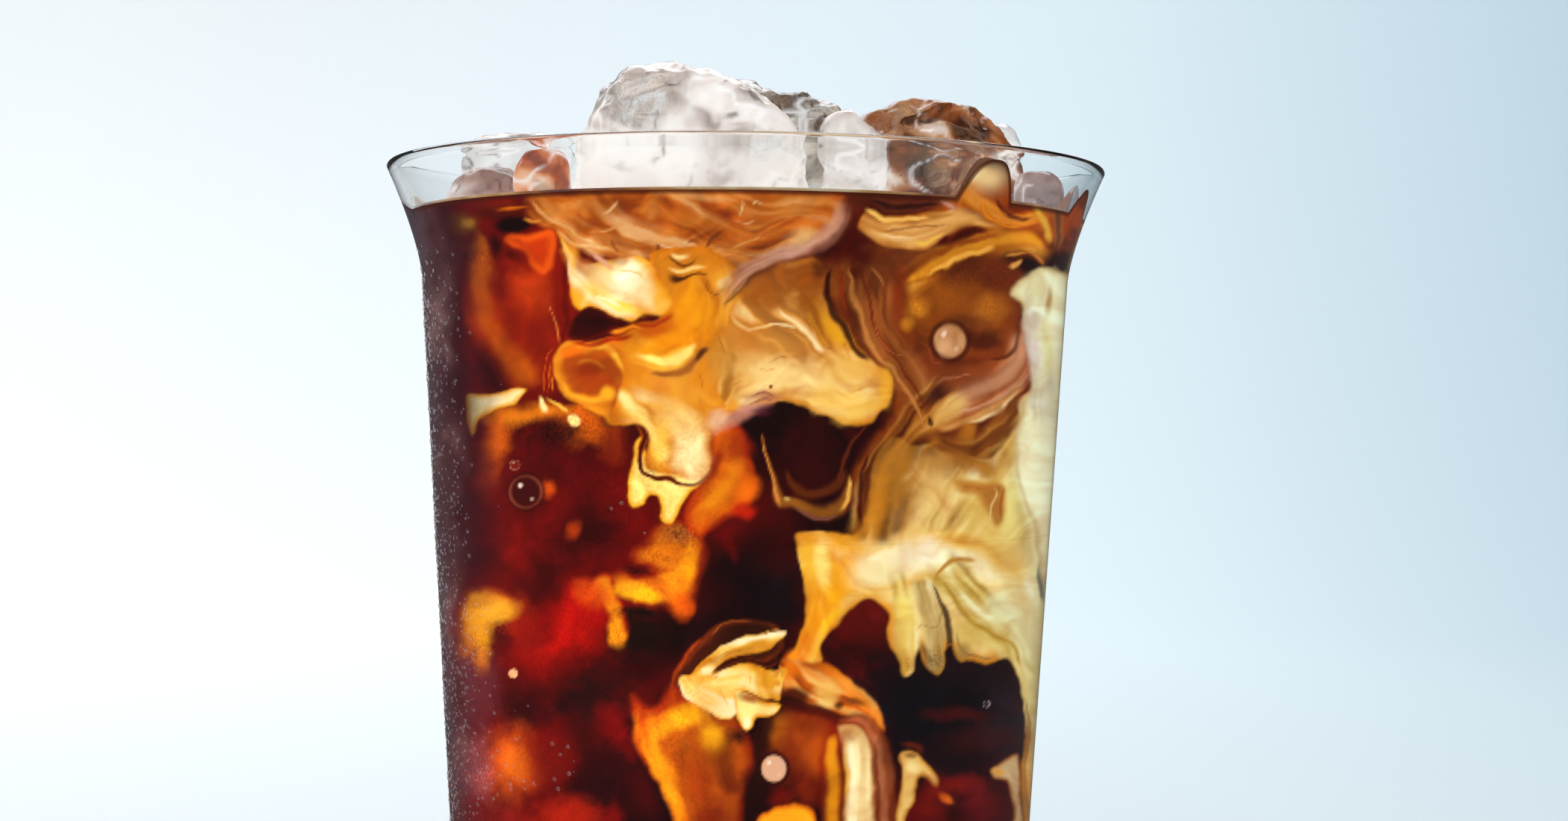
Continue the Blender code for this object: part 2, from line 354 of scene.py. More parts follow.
# %% Glass material
def let_light_through(tree, shader):
    """The shader for rays that are seen, and nothing for rays that carry light to what lies behind."""
    path = add_node(tree, "ShaderNodeLightPath")
    passing = add_node(tree, "ShaderNodeMath", {0: path.outputs["Is Shadow Ray"],
                                                1: path.outputs["Is Diffuse Ray"]}, operation="MAXIMUM")
    clear = add_node(tree, "ShaderNodeBsdfTransparent", {"Color": rgba("#f4f6f8")})
    mixed = add_node(tree, "ShaderNodeMixShader", {0: passing.outputs[0], 1: shader, 2: clear.outputs[0]})
    return mixed.outputs[0]


glass, tree = new_material("soda_lime_glass")
skin = add_node(tree, "ShaderNodeBsdfPrincipled", {"Base Color": rgba("#fbfdfd"), "Roughness": 0.0, "IOR": 1.5,
                                                   "Specular IOR Level": 0.25,
                                                   "Transmission Weight": 1.0})
add_node(tree, "ShaderNodeOutputMaterial", {"Surface": let_light_through(tree, skin.outputs[0])})

profile = bpy.data.meshes.new("outline")
outline_edges = [(i, i + 1) for i in range(len(outline) - 1)]
profile.from_pydata([(r * MM, 0.0, h * MM) for r, h in outline], outline_edges, [])
blank = bpy.data.objects.new("blank", profile)
scene.collection.objects.link(blank)
node_modifier(blank, lathe_tree(len(outline)), {"Sides": 224, "Material": glass})
tumbler = baked_copy(blank, "tumbler")
print("tumbler", round(face_outwards(tumbler) * 1e6, 1), "ml of glass,", len(tumbler.data.polygons), "faces")
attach(tumbler, "root")
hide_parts("glass")

# %% [markdown]
# ## Soft noise
# Nature's unevenness comes from noise: random values on a lattice with a smooth blend between them. Finer
# and finer copies on top of each other make clouds.

# %% Noise
def lattice_noise(x, z, seed):
    """Smooth noise from -1 to 1 over a unit lattice."""
    table = np.random.default_rng(seed).uniform(-1.0, 1.0, (256, 256))
    column, row = np.floor(x).astype(int), np.floor(z).astype(int)
    across, up = x - column, z - row
    across = across**3 * (across * (across * 6 - 15) + 10)
    up = up**3 * (up * (up * 6 - 15) + 10)
    corner = [table[(column + i) % 256, (row + j) % 256] for i in (0, 1) for j in (0, 1)]
    low = corner[0] * (1 - across) + corner[2] * across
    high = corner[1] * (1 - across) + corner[3] * across
    return low * (1 - up) + high * up


def cloud(x, z, size, seed, octaves=3):
    """Noise with finer noise on top. size is the largest billow in millimetres."""
    total, share = 0.0, 0.0
    for k in range(octaves):
        total = total + lattice_noise(x * 2**k / size + 37.7 * k, z * 2**k / size - 11.3 * k, seed + k) / 2**k
        share += 1 / 2**k
    return total / share

# %% [markdown]
# ## Curved paths
# Each strand and each lobe of cream is a curve through a few given points. A Catmull-Rom curve passes
# through all of its points, so the shape stays where it was placed. Two more functions say how far a point is
# from a path and whether it lies inside.

# %% Paths
def smooth_path(points, closed, per_span=8):
    """Catmull-Rom curve through given points."""
    points = np.array(points, float)
    count = len(points)
    spans = count if closed else count - 1
    made = []
    for i in range(spans):
        if closed:
            a, b, c, d = (points[(i + k) % count] for k in (-1, 0, 1, 2))
        else:
            a, b, c, d = (points[min(max(i + k, 0), count - 1)] for k in (-1, 0, 1, 2))
        t = np.linspace(0, 1, per_span, endpoint=False)[:, None]
        made.append(0.5 * (2 * b + (c - a) * t + (2 * a - 5 * b + 4 * c - d) * t**2
                           + (3 * b - a - 3 * c + d) * t**3))
    if not closed:
        made.append(points[-1:])
    return np.vstack(made)


def near_path(x, z, path, closed):
    """Distance to a path, signed side, share of the way along it and the path's own third value there."""
    a = path
    b = np.roll(path, -1, axis=0) if closed else path[1:]
    a = a if closed else path[:-1]
    best = np.full(x.shape, 1e9)
    along = np.zeros(x.shape)
    side = np.zeros(x.shape)
    width = np.zeros(x.shape)
    lengths = np.hypot(*(b[:, :2] - a[:, :2]).T)
    before = np.concatenate([[0], np.cumsum(lengths)[:-1]])
    for p, q, start, length in zip(a, b, before, lengths):
        if length < 1e-9:
            continue
        dx, dz = q[0] - p[0], q[1] - p[1]
        t = np.clip(((x - p[0]) * dx + (z - p[1]) * dz) / length**2, 0, 1)
        ex, ez = x - p[0] - t * dx, z - p[1] - t * dz
        d = ex * ex + ez * ez
        closer = d < best
        best = np.where(closer, d, best)
        along = np.where(closer, start + t * length, along)
        side = np.where(closer, np.sign(dx * (z - p[1]) - dz * (x - p[0])), side)
        if path.shape[1] > 2:
            width = np.where(closer, p[2] + t * (q[2] - p[2]), width)
    return np.sqrt(best), side, along, width


def inside_path(x, z, path):
    """Whether points lie inside a closed path."""
    inside = np.zeros(x.shape, bool)
    for p, q in zip(path, np.roll(path, -1, axis=0)):
        crosses = (p[1] > z) != (q[1] > z)
        with np.errstate(divide="ignore", invalid="ignore"):
            at = (q[0] - p[0]) * (z - p[1]) / (q[1] - p[1]) + p[0]
        inside ^= crosses & (x < at)
    return inside


def smooth_step(low, high, value):
    t = np.clip((value - low) / (high - low), 0, 1)
    return t * t * (3 - 2 * t)


def ramp(value, stops):
    at = [s[0] for s in stops]
    colours = np.array([hex_linear(s[1]) for s in stops])
    return np.stack([np.interp(value, at, colours[:, k]) for k in range(3)], axis=-1)

# %% [markdown]
# ## Painting with soft shapes
# The pattern in the drink is painted back to front, as with thinned oils. A glow is a soft patch, such as
# light that comes through the drink. A lobe is a closed body of cream, whose edge is thinner and so more
# orange than its middle. A ribbon is a strand, and silk is a flow of soft bands. All of them are bent by one
# slow noise, so that nothing looks drawn.
#
# The strokes of each part of the picture stand in a table, one stroke to a line, with all lengths in
# millimetres on the upright plane through the axis. A glow has its place, its two half widths, its turn in
# degrees, its colour and its strength. The others have their colours and settings, and after a colon their
# points, which for a ribbon carry its half width too. "within body" keeps the next strokes inside the last
# lobe, and "ribbons" gives settings to all ribbons that follow.

# %% The painter
class Painting:
    """Colours of points on the drink's skin, painted back to front in linear light."""

    def __init__(self, x, z):
        self.x, self.z = x, z
        self.colour = np.zeros((x.size, 3))
        self.within = None  # share of each point that the next strokes may colour
        self.grain = np.zeros(x.size)
        # a slow meander that keeps every listed edge from looking drawn
        self.wx = x + 0.6 * cloud(x, z, 6.0, 11) + 0.3 * cloud(x, z, 2.2, 21)
        self.wz = z + 0.6 * cloud(x, z, 6.0, 31) + 0.3 * cloud(x, z, 2.2, 41)
        self.ragged = 0.42 * cloud(x, z, 3.4, 51) + 0.22 * cloud(x, z, 1.1, 56)

    def fill(self, mask, colour, picked=slice(None)):
        """Blends a colour over all points, or over the picked ones."""
        self.colour[picked] += mask[:, None] * (colour - self.colour[picked])

    def stroke(self, mask, colour, picked=slice(None)):
        """Blends a colour over points, but only inside the body that the strokes are kept to."""
        self.fill(mask if self.within is None else mask * self.within[picked], colour, picked)

    def near(self, low, high, margin):
        return np.nonzero((self.wx > low[0] - margin) & (self.wx < high[0] + margin)
                          & (self.wz > low[1] - margin) & (self.wz < high[1] + margin))[0]

    def glow(self, x, z, rx, rz, turn, code, strength, core=0.0, grain=0.0):
        """A soft patch: light through the drink, or a shadow in it."""
        c, s = np.cos(np.radians(turn)), np.sin(np.radians(turn))
        u = ((self.wx - x) * c + (self.wz - z) * s) / rx
        v = (-(self.wx - x) * s + (self.wz - z) * c) / rz
        far = np.sqrt(u * u + v * v) + min(1.0, 0.5 * (rx + rz) / 2.0) * self.ragged
        mask = strength * smooth_step(1.55, 0.25 + core, far)
        self.stroke(mask, hex_linear(code))
        if grain:
            self.grain = np.maximum(self.grain, grain * np.exp(-far**2))

    def lobe(self, points, edge, inner, depth=1.4, soft=0.22, streaks=0.0, turn=90.0, tone=None, strength=1.0):
        """A closed body of cream: its edge colour goes over into its inner colour in depth mm."""
        path = smooth_path(points, True)
        picked = self.near(path.min(0), path.max(0), soft * 3 + 0.5)
        x, z = self.wx[picked], self.wz[picked]
        away = near_path(x, z, path, True)[0]
        away = np.where(inside_path(x, z, path), away, -away)
        mask = smooth_step(-soft, soft, away)
        self.body = np.zeros(self.x.size)
        self.body[picked] = mask
        c, s = np.cos(np.radians(turn)), np.sin(np.radians(turn))
        u, v = x * c + z * s, -x * s + z * c
        v = v + 0.9 * cloud(u, v, 5.0, 71)
        fibre = cloud(u * 0.22, v, 1.5, 81)
        core = smooth_step(0.0, depth, away * (1 + 0.35 * cloud(x, z, 3.0, 61)) + streaks * depth * 0.6 * fibre)
        colour = hex_linear(edge) + core[:, None] * (hex_linear(inner) - hex_linear(edge))
        if tone is not None:
            dark = np.clip(streaks * (0.35 + 0.65 * fibre), 0, 1)
            colour = colour + dark[:, None] * (hex_linear(tone) - colour)
        self.stroke(strength * mask, colour, picked)

    def ribbon(self, points, left, middle, right=None, soft=0.35, strength=1.0, fade=0.0, streaks=0.0):
        """A strand drawn along points of (x, z, half width), with a colour for each side and its middle."""
        path = smooth_path(points, False)
        wide = path[:, 2].max()
        strength = strength * min(1.0, 0.5 + 1.4 * wide)
        picked = self.near(path.min(0), path.max(0), wide * 1.6 + 0.3)
        if not picked.size:
            return
        x, z = self.wx[picked], self.wz[picked]
        away, side, along, width = near_path(x, z, path, False)
        width = np.maximum(width, 0.05)
        v = side * away / width
        v = v + streaks * 0.35 * cloud(along * 0.25, v * width, 1.0, 91)
        mask = strength * (1 - smooth_step(1 - soft, 1 + soft * 0.5, np.abs(v)))
        total = float(np.hypot(*np.diff(path[:, :2], axis=0).T).sum())
        fade = max(fade or min(1.4, total * 0.3), 0.01)
        mask = mask * smooth_step(0, fade, along) * smooth_step(0, fade, total - along)
        right = right or left
        left, middle, right = hex_linear(left), hex_linear(middle), hex_linear(right)
        side_colour = np.where(v[:, None] > 0, left, right)
        colour = middle + (smooth_step(0.15, 0.95, np.abs(v))[:, None]) * (side_colour - middle)
        self.stroke(mask, colour, picked)

    def draw(self, strokes):
        """Lays strokes from a table: a kind, then colours and settings, then after a colon its points."""
        usual = {}
        lines = strokes.replace("\n ", " ").strip().split("\n")
        for line in (line for line in lines if not line.startswith("note")):
            head, _, places = line.partition(":")
            kind, *words = head.split()
            colours = [word for word in words if word[0] == "#"]
            numbers = [float(word) for word in words if word[0] in "-.0123456789"]
            given = dict(word.split("=") for word in words if "=" in word)
            given = {name: value if value[0] == "#" else float(value) for name, value in given.items()}
            points = [[float(part) for part in place.split()] for place in places.split(",") if place]
            if kind == "within":
                self.within = self.body if words == ["body"] else None
            elif kind == "ribbons":
                usual = given
            elif kind == "ribbon":
                self.ribbon(points, *colours, **{**usual, **given})
            elif kind == "lobe":
                self.lobe(points, *colours, **given)
            elif kind == "silk":
                given["seed"] = int(given["seed"])
                self.silk(points, colours=colours, **given)
            else:
                self.glow(*numbers[:5], colours[0], *numbers[5:])

    def silk(self, guide, spread, colours, seed, strength=0.8, fine=0.9, run=9.0, fade=3.0):
        """Soft flowing bands of changing colour along a guide of (x, z, spread share), like drawn-out cream."""
        guide = np.array([(*p, 1.0) if len(p) < 3 else p for p in guide], float)
        path = smooth_path(guide, False)
        picked = self.near(path.min(0), path.max(0), spread * guide[:, 2].max() + 0.5)
        if not picked.size:
            return
        x, z = self.wx[picked], self.wz[picked]
        away, side, along, share = near_path(x, z, path, False)
        total = float(np.hypot(*np.diff(path[:, :2], axis=0).T).sum())
        across = side * away / share
        bent = across + 0.35 * spread * cloud(along / run, across / spread, 1.0, seed)
        band = 0.8 * cloud(along / run, bent / (1.5 * fine), 1.0, seed + 10, 2) + 0.2 * cloud(
            along / run, bent / (fine * 0.5), 1.0, seed + 20, 1)
        tones = np.array([hex_linear(code) for code in colours])
        at = np.clip(0.5 + 0.95 * band, 0, 1) * (len(tones) - 1)
        colour = np.stack([np.interp(at, np.arange(len(tones)), tones[:, k]) for k in range(3)], axis=1)
        torn = np.abs(across) + 0.2 * spread * self.ragged[picked]
        mask = strength * smooth_step(spread, spread * 0.45, torn)
        mask = mask * smooth_step(0, fade, along) * smooth_step(0, fade, total - along)
        self.stroke(mask, colour, picked)


# seen through coffee and glass, colours are richer, pale tones stay and dim ones sink
RICHNESS, DEEPEN_POWER, DEEPEN_GAIN = 1.12, 0.05, 1.08
print("tones are deepened by", RICHNESS, DEEPEN_POWER, DEEPEN_GAIN)

# %% [markdown]
# ## The dark of the drink
# Coffee lets red light through and little else, so the thin parts are red and the thick parts nearly black.

# %% Depths of the drink
DARK_PATCHES = """
glow -20.5 96 4.5 5 0 #330304 .8
glow -26.5 90 4 4 0 #4a0505 .6
glow 4.5 88 4 4.6 0 #1b0c10 .95
glow 4 98 4 7 0 #450502 .7
glow -13 82.5 4.5 2.6 0 #231006 .95
glow -19 75.5 5 3.4 0 #250d0b .9
glow -27 73.5 4 2.6 0 #33080c .8
glow 26.5 73 11 8 0 #1d1015 .97
glow 20 74 5 4.5 0 #191318 .9
glow 33.5 72 2.5 5 0 #2c232c .7
glow 12.5 80.5 5 3 0 #2a0806 .9
glow 16 84.5 3.4 2.6 0 #64140a .7
glow 8.5 104 4.6 5.6 0 #430a05 .95
glow -18 64 4 3.5 0 #3c080c .8
"""
print("dark patches:", DARK_PATCHES.count("\n") - 1, "lines")


def base(art):
    x, z = art.wx, art.wz
    slow = cloud(x, z, 16.0, 5)
    redness = smooth_step(-0.25, 0.55, slow + 0.35 * smooth_step(4.0, -18.0, x))
    colour = hex_linear("#260607") + redness[:, None] * (hex_linear("#760a03") - hex_linear("#260607"))
    art.colour[:] = colour
    art.draw(DARK_PATCHES)

# %% [markdown]
# ## Light on the left
# Here the drink is clear of cream, and daylight makes it glow red and orange round the sunk ice.

# %% Red light on the left
LEFT_SIDE = """
glow -27.5 124 6 7.5 0 #8c1c03 .9
glow -27.8 124.6 3 3.4 20 #b83a06 .9
glow -26.5 117 3.4 5 0 #8c1c03 .85
glow -32.6 120.6 1.9 4.2 28 #cf4206 .9
glow -34 128.6 1.2 3.6 4 #d87c14 .8 0 .3
glow -31.6 115.4 2.2 3.2 0 #420406 .95
glow -24 125 .8 5 0 #7c1000 .7
glow -36.2 133.4 2 1.4 -15 #8c6418 .8
glow -35.6 133.6 .8 .7 0 #b8842c .8
glow -36.4 130 2 2.4 0 #6c3018 .8 0 .5
glow -31 134.7 4 1 0 #571004 .95
glow -29.4 133.2 2.5 1 0 #1c0402 1 .3
glow -31.9 130.6 .9 1.6 0 #330300 .9
glow -29.6 129.3 1.4 .7 -25 #4a0600 .9
glow -29.5 135.4 2 .22 5 #cf6a0c .9
glow -31 135.9 5 .4 3 #6a1c08 .8
glow -25 104 7 6 0 #520404 .85
glow -21 104 3.5 3.5 0 #6e0604 .6
glow -31.3 106.6 1.5 3.6 -12 #dd6408 1
glow -33 103 1.6 3 0 #9c3418 .7
glow -27 109.9 5 1.1 3 #e07a10 .95
glow -20.5 108.2 3.4 2.2 -18 #d8620a .95 0 .5
glow -17 106 1.7 2.8 0 #a03008 .8
glow -25.5 107.4 4 1.7 0 #3c0402 .9 0 .9
glow -24.9 100.6 .9 1 0 #d2500a .85
glow -22.2 95.6 .9 1.3 -38 #c2440a .85
glow -29 91.5 1.2 2.2 40 #8a1006 .6
ribbon #a83004 #d06008 soft=.9 strength=.85 fade=3: -33.2 132 .9, -33.9 127.6 1.5, -33.4 122.8 1.7,
 -31.2 118.6 2.1, -28.6 115.4 2.6, -26.8 112.4 2.2
lobe #d8560c #b83604 depth=1.2 soft=.4: -30.6 131.4, -30 132, -28 131.8, -25.6 132.4, -24.6 130, -25.4 127,
 -27 127.6, -28.6 129.8, -30 130.6
glow -29.6 120.6 3 4.6 24 #8c1c02 .55
glow -28.4 129.2 1.2 1.8 30 #7c1402 .6
ribbon #8a1200 #650a00 soft=.8 strength=.8 fade=1.5: -23.9 131.5 .9, -23.2 128.5 .8, -23.2 124 .7,
 -23.4 120.5 .7, -24.6 118 .5
"""
print("left side:", LEFT_SIDE.count("\n") - 1, "lines")

# %% [markdown]
# ## Light low on the left
# Sunk lumps of ice bend the daylight into amber patches with dark borders.

# %% Amber light low on the left
LOWER_LEFT = """
glow -21.2 84.6 3.6 4.2 -20 #b40e02 .9 .3
lobe #a02c04 #e07c10 soft=.7 streaks=.6 turn=30 tone=#c84c06: -14.6 92.4, -12.6 94.2, -10.4 96.2, -8 96.6,
 -6 95.2, -4.4 93.4, -4.8 91, -5.6 89, -6.4 86.6, -7.9 84.4, -9.4 85.6, -10.6 86.5, -12.2 86.1, -14 86.7,
 -15.6 88, -17.4 89.6, -15.4 90.4, -13.6 89.8, -11.6 90, -12.6 91.4
lobe #b83008 #ea8414 depth=.8 soft=.4: -18.6 90.2, -17 89.8, -15.9 87.4, -15.2 84.8, -15 82.2, -16.2 81.6,
 -17 84, -18.2 86.4, -19.8 88.4
lobe #a84810 #ec9626 depth=1 soft=.6 streaks=.4 turn=60 tone=#d8741c: -35.2 87.6, -33.4 88.2, -31 87.8,
 -29.6 86.6, -30.6 85.2, -32.4 84.2, -33.2 82.4, -34 80, -35.4 79.6, -35.8 83
glow -34.2 81.2 1.4 2.2 0 #c05c18 .8 0 .8
glow -29.4 84.6 2 2.2 0 #b83a08 .7
glow -31 83 1.2 1.6 0 #5c1406 .6 0 .9
glow -26 79.6 4.2 2.2 0 #a80e02 .85
glow -19.6 87.6 2.2 1.7 -35 #d84c08 .9 0 .3
glow -16.3 82.8 .9 1.5 10 #f29414 .95 .2 .8
glow -12.8 87.6 2.4 .9 -8 #ffb414 .95 .2 .2
glow -10.8 92.6 2.4 .9 8 #ea7e0e .85 0 .6
glow -8.6 89.4 1.8 2 20 #f08e12 .9 0 .3
glow -6.8 93.6 1.2 1.2 0 #a84408 .7 0 .6
glow -14.6 88.6 1.4 .7 0 #f49c18 .85
glow -10.6 90.6 1.6 .5 0 #a83c06 .7 0 .5
glow -7.4 86.4 1 1.2 0 #c84c08 .8
glow -6.9 91.2 1.3 2.4 -8 #fba010 .9
glow -8.2 86.4 1.4 1.9 0 #de5a08 .9
glow -8 95 2.4 1.2 0 #985020 .8 0 .9
glow -13.9 90.7 1.7 .7 -15 #4a0804 .95 0 .8
glow -12.7 85.2 3 .8 0 #231006 .95 0 .9
glow -33.4 76 2.2 6.5 0 #8c3c44 .75
glow -28 82.5 2.2 2.6 0 #b01c08 .8
glow -29.8 66.6 3.6 4.2 0 #d05010 .95
glow -29.2 66.8 2 2.6 0 #de6a14 .8
glow -33.2 66.6 1.8 4.4 0 #a8585a .7 0 .8
glow -24.6 67.2 2.4 3.2 0 #7c1408 .7
glow -29 59 4 2.4 0 #a41c0c .8
glow -22 60 4 2.4 0 #b42408 .8
glow -16.4 60.4 1.6 1.6 0 #8c0c06 .8
glow -16.2 71.2 1.5 3.8 28 #7c0a08 .85
lobe #a02c06 #c85c0c depth=2.2 soft=.6 streaks=.4 turn=60 tone=#9c3408: -14.4 75.2, -12.6 73.6, -10.4 74.2,
 -9.4 76.6, -7.4 75.4, -4.2 73.2, -.4 72.6, 1.4 68.4, .8 63, -1 57, -7.6 57, -8.6 60.4, -10.2 63.6,
 -12 66.6, -13.8 69, -13.4 71.6
within body
silk #c8480a #ee7c0c #fb9c14 spread=2 seed=641 strength=.9: -12.4 73.6, -12.4 69.6, -10.6 65.6, -8.2 60,
 -6.8 56
silk #d8780c #f2a018 #fcc02c spread=1.7 seed=642 strength=.9: -12.6 69, -9.6 71.6, -6.4 73.4, -4.4 76
glow -7 72.6 2.6 1.3 24 #fbb018 .9
glow -3.9 69.9 1.6 1.9 10 #f0a414 .9
glow -7.6 69.2 1.4 1.4 30 #c8600c .7
glow -2.6 66.6 2.6 2.6 0 #8c3c08 .7
glow -5.6 64.4 1.8 3.4 20 #b8400a .7
glow -3.6 60 2.6 2.6 0 #8c2008 .8
glow -.4 70.4 1.8 1.2 0 #33180a .9 0 .7
glow -.2 64.2 .7 2.4 10 #c0500c .6
within all
glow -12.6 63 1.5 3 28 #4a0608 .7
"""
print("lower left:", LOWER_LEFT.count("\n") - 1, "lines")

# %% [markdown]
# ## Haze in the middle
# Behind the hanging cream a thin orange haze fades into the dark.

# %% Haze in the middle
CENTRE_GLOWS = """
lobe #a82c04 #dc640a depth=1.6 soft=.4 streaks=.4 turn=60 tone=#c04404: -5 108, -2.6 109.4, -.6 108.4,
 .2 106.4, .7 104.2, 1.6 101.6, 1.2 99.2, -.6 97.6, -2.4 96.6, -4 95.4, -5.6 94.4, -7.4 97, -6.6 101,
 -5 103.6
silk #b03404 #e87008 #f08c14 spread=2.1 seed=611 strength=.7: -6 96.5, -3.6 99, -2 102, -1.6 105, -2 108
glow -3.8 99.6 1.4 2.6 -35 #f08c10 .9 .1
glow .2 100.6 1.6 1.3 20 #f8780a .85
glow -3.6 104.4 .9 2.2 -28 #a02a06 .8
glow -.8 105.6 1.8 1.8 0 #a82a08 .8
glow .2 97.9 1.5 .9 0 #be2604 .8
glow -2 94 .8 2.4 28 #7a0c04 .7
glow 5.6 70.6 1.9 2 0 #cc780c .9
glow 7.6 68.4 4.2 4.6 0 #842c08 .95
glow 9.6 68 2.4 3.4 0 #b04c0a .8
glow 9 71.8 2.6 1 -12 #8c3408 .7
glow 3 70.4 1 3 -18 #2c0c04 .85
glow 1.6 63.4 2.2 3.8 0 #300c04 .85
glow -1.4 64.2 1.6 2.4 0 #8a2c0a .8
glow 11.3 66.5 .9 4.6 0 #7c0600 .95
glow 8.6 63.6 2.2 1.6 0 #8c2806 .8
glow 5.4 62.8 1.6 1.4 0 #801404 .7
"""
print("centre glows:", CENTRE_GLOWS.count("\n") - 1, "lines")

# %% [markdown]
# ## Under the level
# Just under the level the cream has thinned to a brown haze that is drawn out sideways in wisps.

# %% Thin cream under the level
HAZE_PATCHES = """
glow -17 135.8 3.4 .8 4 #7a3018 .6
glow -3.2 134.6 1.6 1 0 #7c2c18 .6
glow -13 134 4.5 1 0 #a84a10 .55
glow 2 130.3 2.6 .7 4 #50261c .75
glow 1.5 133.2 3 1.2 0 #98521c .5
glow 6.8 131.9 2.4 1.1 10 #e0ae70 .85
glow -5.6 137 6 .5 0 #e0a868 .5
glow 7 136 4.5 1.2 0 #cf8840 .6
"""
print("haze patches:", HAZE_PATCHES.count("\n") - 1, "lines")
HAZE_FLOW = """
silk #5a1c0c #94420f #b8641c #d08c48 #e8b880 spread=2.2 seed=561 strength=.6 fine=.8 fade=2.5: -28 137,
 -24 133.6, -20 131.4, -14 129
silk #5a1c0c #94420f #b8641c #d08c48 #e8b880 spread=2.4 seed=562 strength=.6 fine=.8 fade=2.5: -21 138,
 -17 133.5, -13 132, -8 131.5, -3 134.5
silk #5a1c0c #94420f #b8641c #d08c48 #e8b880 spread=2.4 seed=563 strength=.6 fine=.8 fade=2.5: -13 137,
 -7 134.5, -2 132, 2 131.5, 7 134
silk #5a1c0c #94420f #b8641c #d08c48 #e8b880 spread=2 seed=564 strength=.6 fine=.8 fade=2.5: -4 137.6,
 2 135.6, 7 136, 13 134.6
silk #5a1c0c #94420f #b8641c #d08c48 #e8b880 spread=1.6 seed=565 strength=.6 fine=.8 fade=2.5: -15 130.6,
 -9 131, -5 129, 0 127
"""
print("haze flow:", HAZE_FLOW.count("\n") - 1, "lines")
HAZE_CURLS = """
ribbons soft=.6 strength=.85
ribbon #b06c30 #d49454: -27.8 136.8 .15, -26.6 135.2 .3, -25 133.6 .4, -23 132.5 .35, -20.6 131 .2
ribbon #c86820 #e09038: -28.8 134 .25, -27.4 133.5 .3, -26 133.9 .25
ribbon #c07838 #e0a468: -25 132.4 .3, -22.6 130.8 .4, -19.6 130.6 .35, -17 130.2 .15
ribbon #b87c48 #dcac78: -18.8 134.6 .15, -17.6 135.4 .3, -16.2 136.8 .2
ribbon #b86c30 #dc9c58: -20.5 132.2 .2, -17.8 132.8 .25, -15.6 134.4 .15
ribbon #783008 #68280c: -17.6 131.8 .15, -17 130.6 .2, -16.2 129.8 .15
ribbon #d09860 #e8bc8c: -12 131.8 .15, -10.6 131 .2, -8.6 130.4 .15
ribbon #7c340c #6a280a: -11.8 131.6 .2, -11.2 130.8 .3, -11.8 130 .15
ribbon #8a3c14 #74300e: -7.6 131.2 .15, -7.2 131.7 .2, -6 131.4 .15
ribbon #8a4414 #6c300e: -5.4 130 .12, -5 131.4 .3, -3.8 132.8 .4, -2.6 133.2 .25
ribbon #a86428 #c88a44: -2.2 130 .15, -.8 131.4 .25, 1.4 131.9 .2, 2.2 132.8 .12
ribbon #d09858 #e8c088: -.6 136.8 .1, -.3 136 .2, -.8 134.8 .15
ribbon #d09858 #e8c088: 1 135.8 .1, 1.4 136.6 .2, 2.4 136.4 .1
ribbon #d09058 #e4b080: -1.6 134.2 .1, .4 134 .16, 1.6 134.4 .1
"""
print("haze curls:", HAZE_CURLS.count("\n") - 1, "lines")


def top_haze(art):
    """The band under the level where the cream has thinned out."""
    x, z = art.wx, art.wz
    floor = np.interp(x, [-29, -27, -24, -20, -15, -10, -5, 0, 4, 8, 11, 13.5],
                      [134.6, 133.4, 131.6, 129.6, 129.2, 130.0, 129.4, 127.4, 129.0, 130.2, 132.2, 134.8])
    mask = smooth_step(-0.5, 0.9, z - floor) * smooth_step(-29.0, -27.0, x) * smooth_step(15.0, 13.0, x)
    swirl = x + 2.4 * cloud(x, z, 7.0, 101), z + 1.6 * cloud(x, z, 5.0, 111)
    wisps = cloud(swirl[0] * 0.55, swirl[1] * 1.5, 4.0, 121, 4)
    value = np.clip(0.46 + 0.75 * wisps, 0, 1)
    stops = [(0.0, "#6a2208"), (0.3, "#a4480f"), (0.55, "#c46a20"), (0.78, "#d98c44"), (1.0, "#ecb478")]
    art.fill(mask, ramp(value, stops))
    art.draw(HAZE_PATCHES)
    art.within = mask
    art.draw(HAZE_FLOW)
    art.within = None
    art.draw(HAZE_CURLS)

# %% [markdown]
# ## Ice below the level
# A lump of ice right of the middle shows as a brown disc, because cream has run behind it.

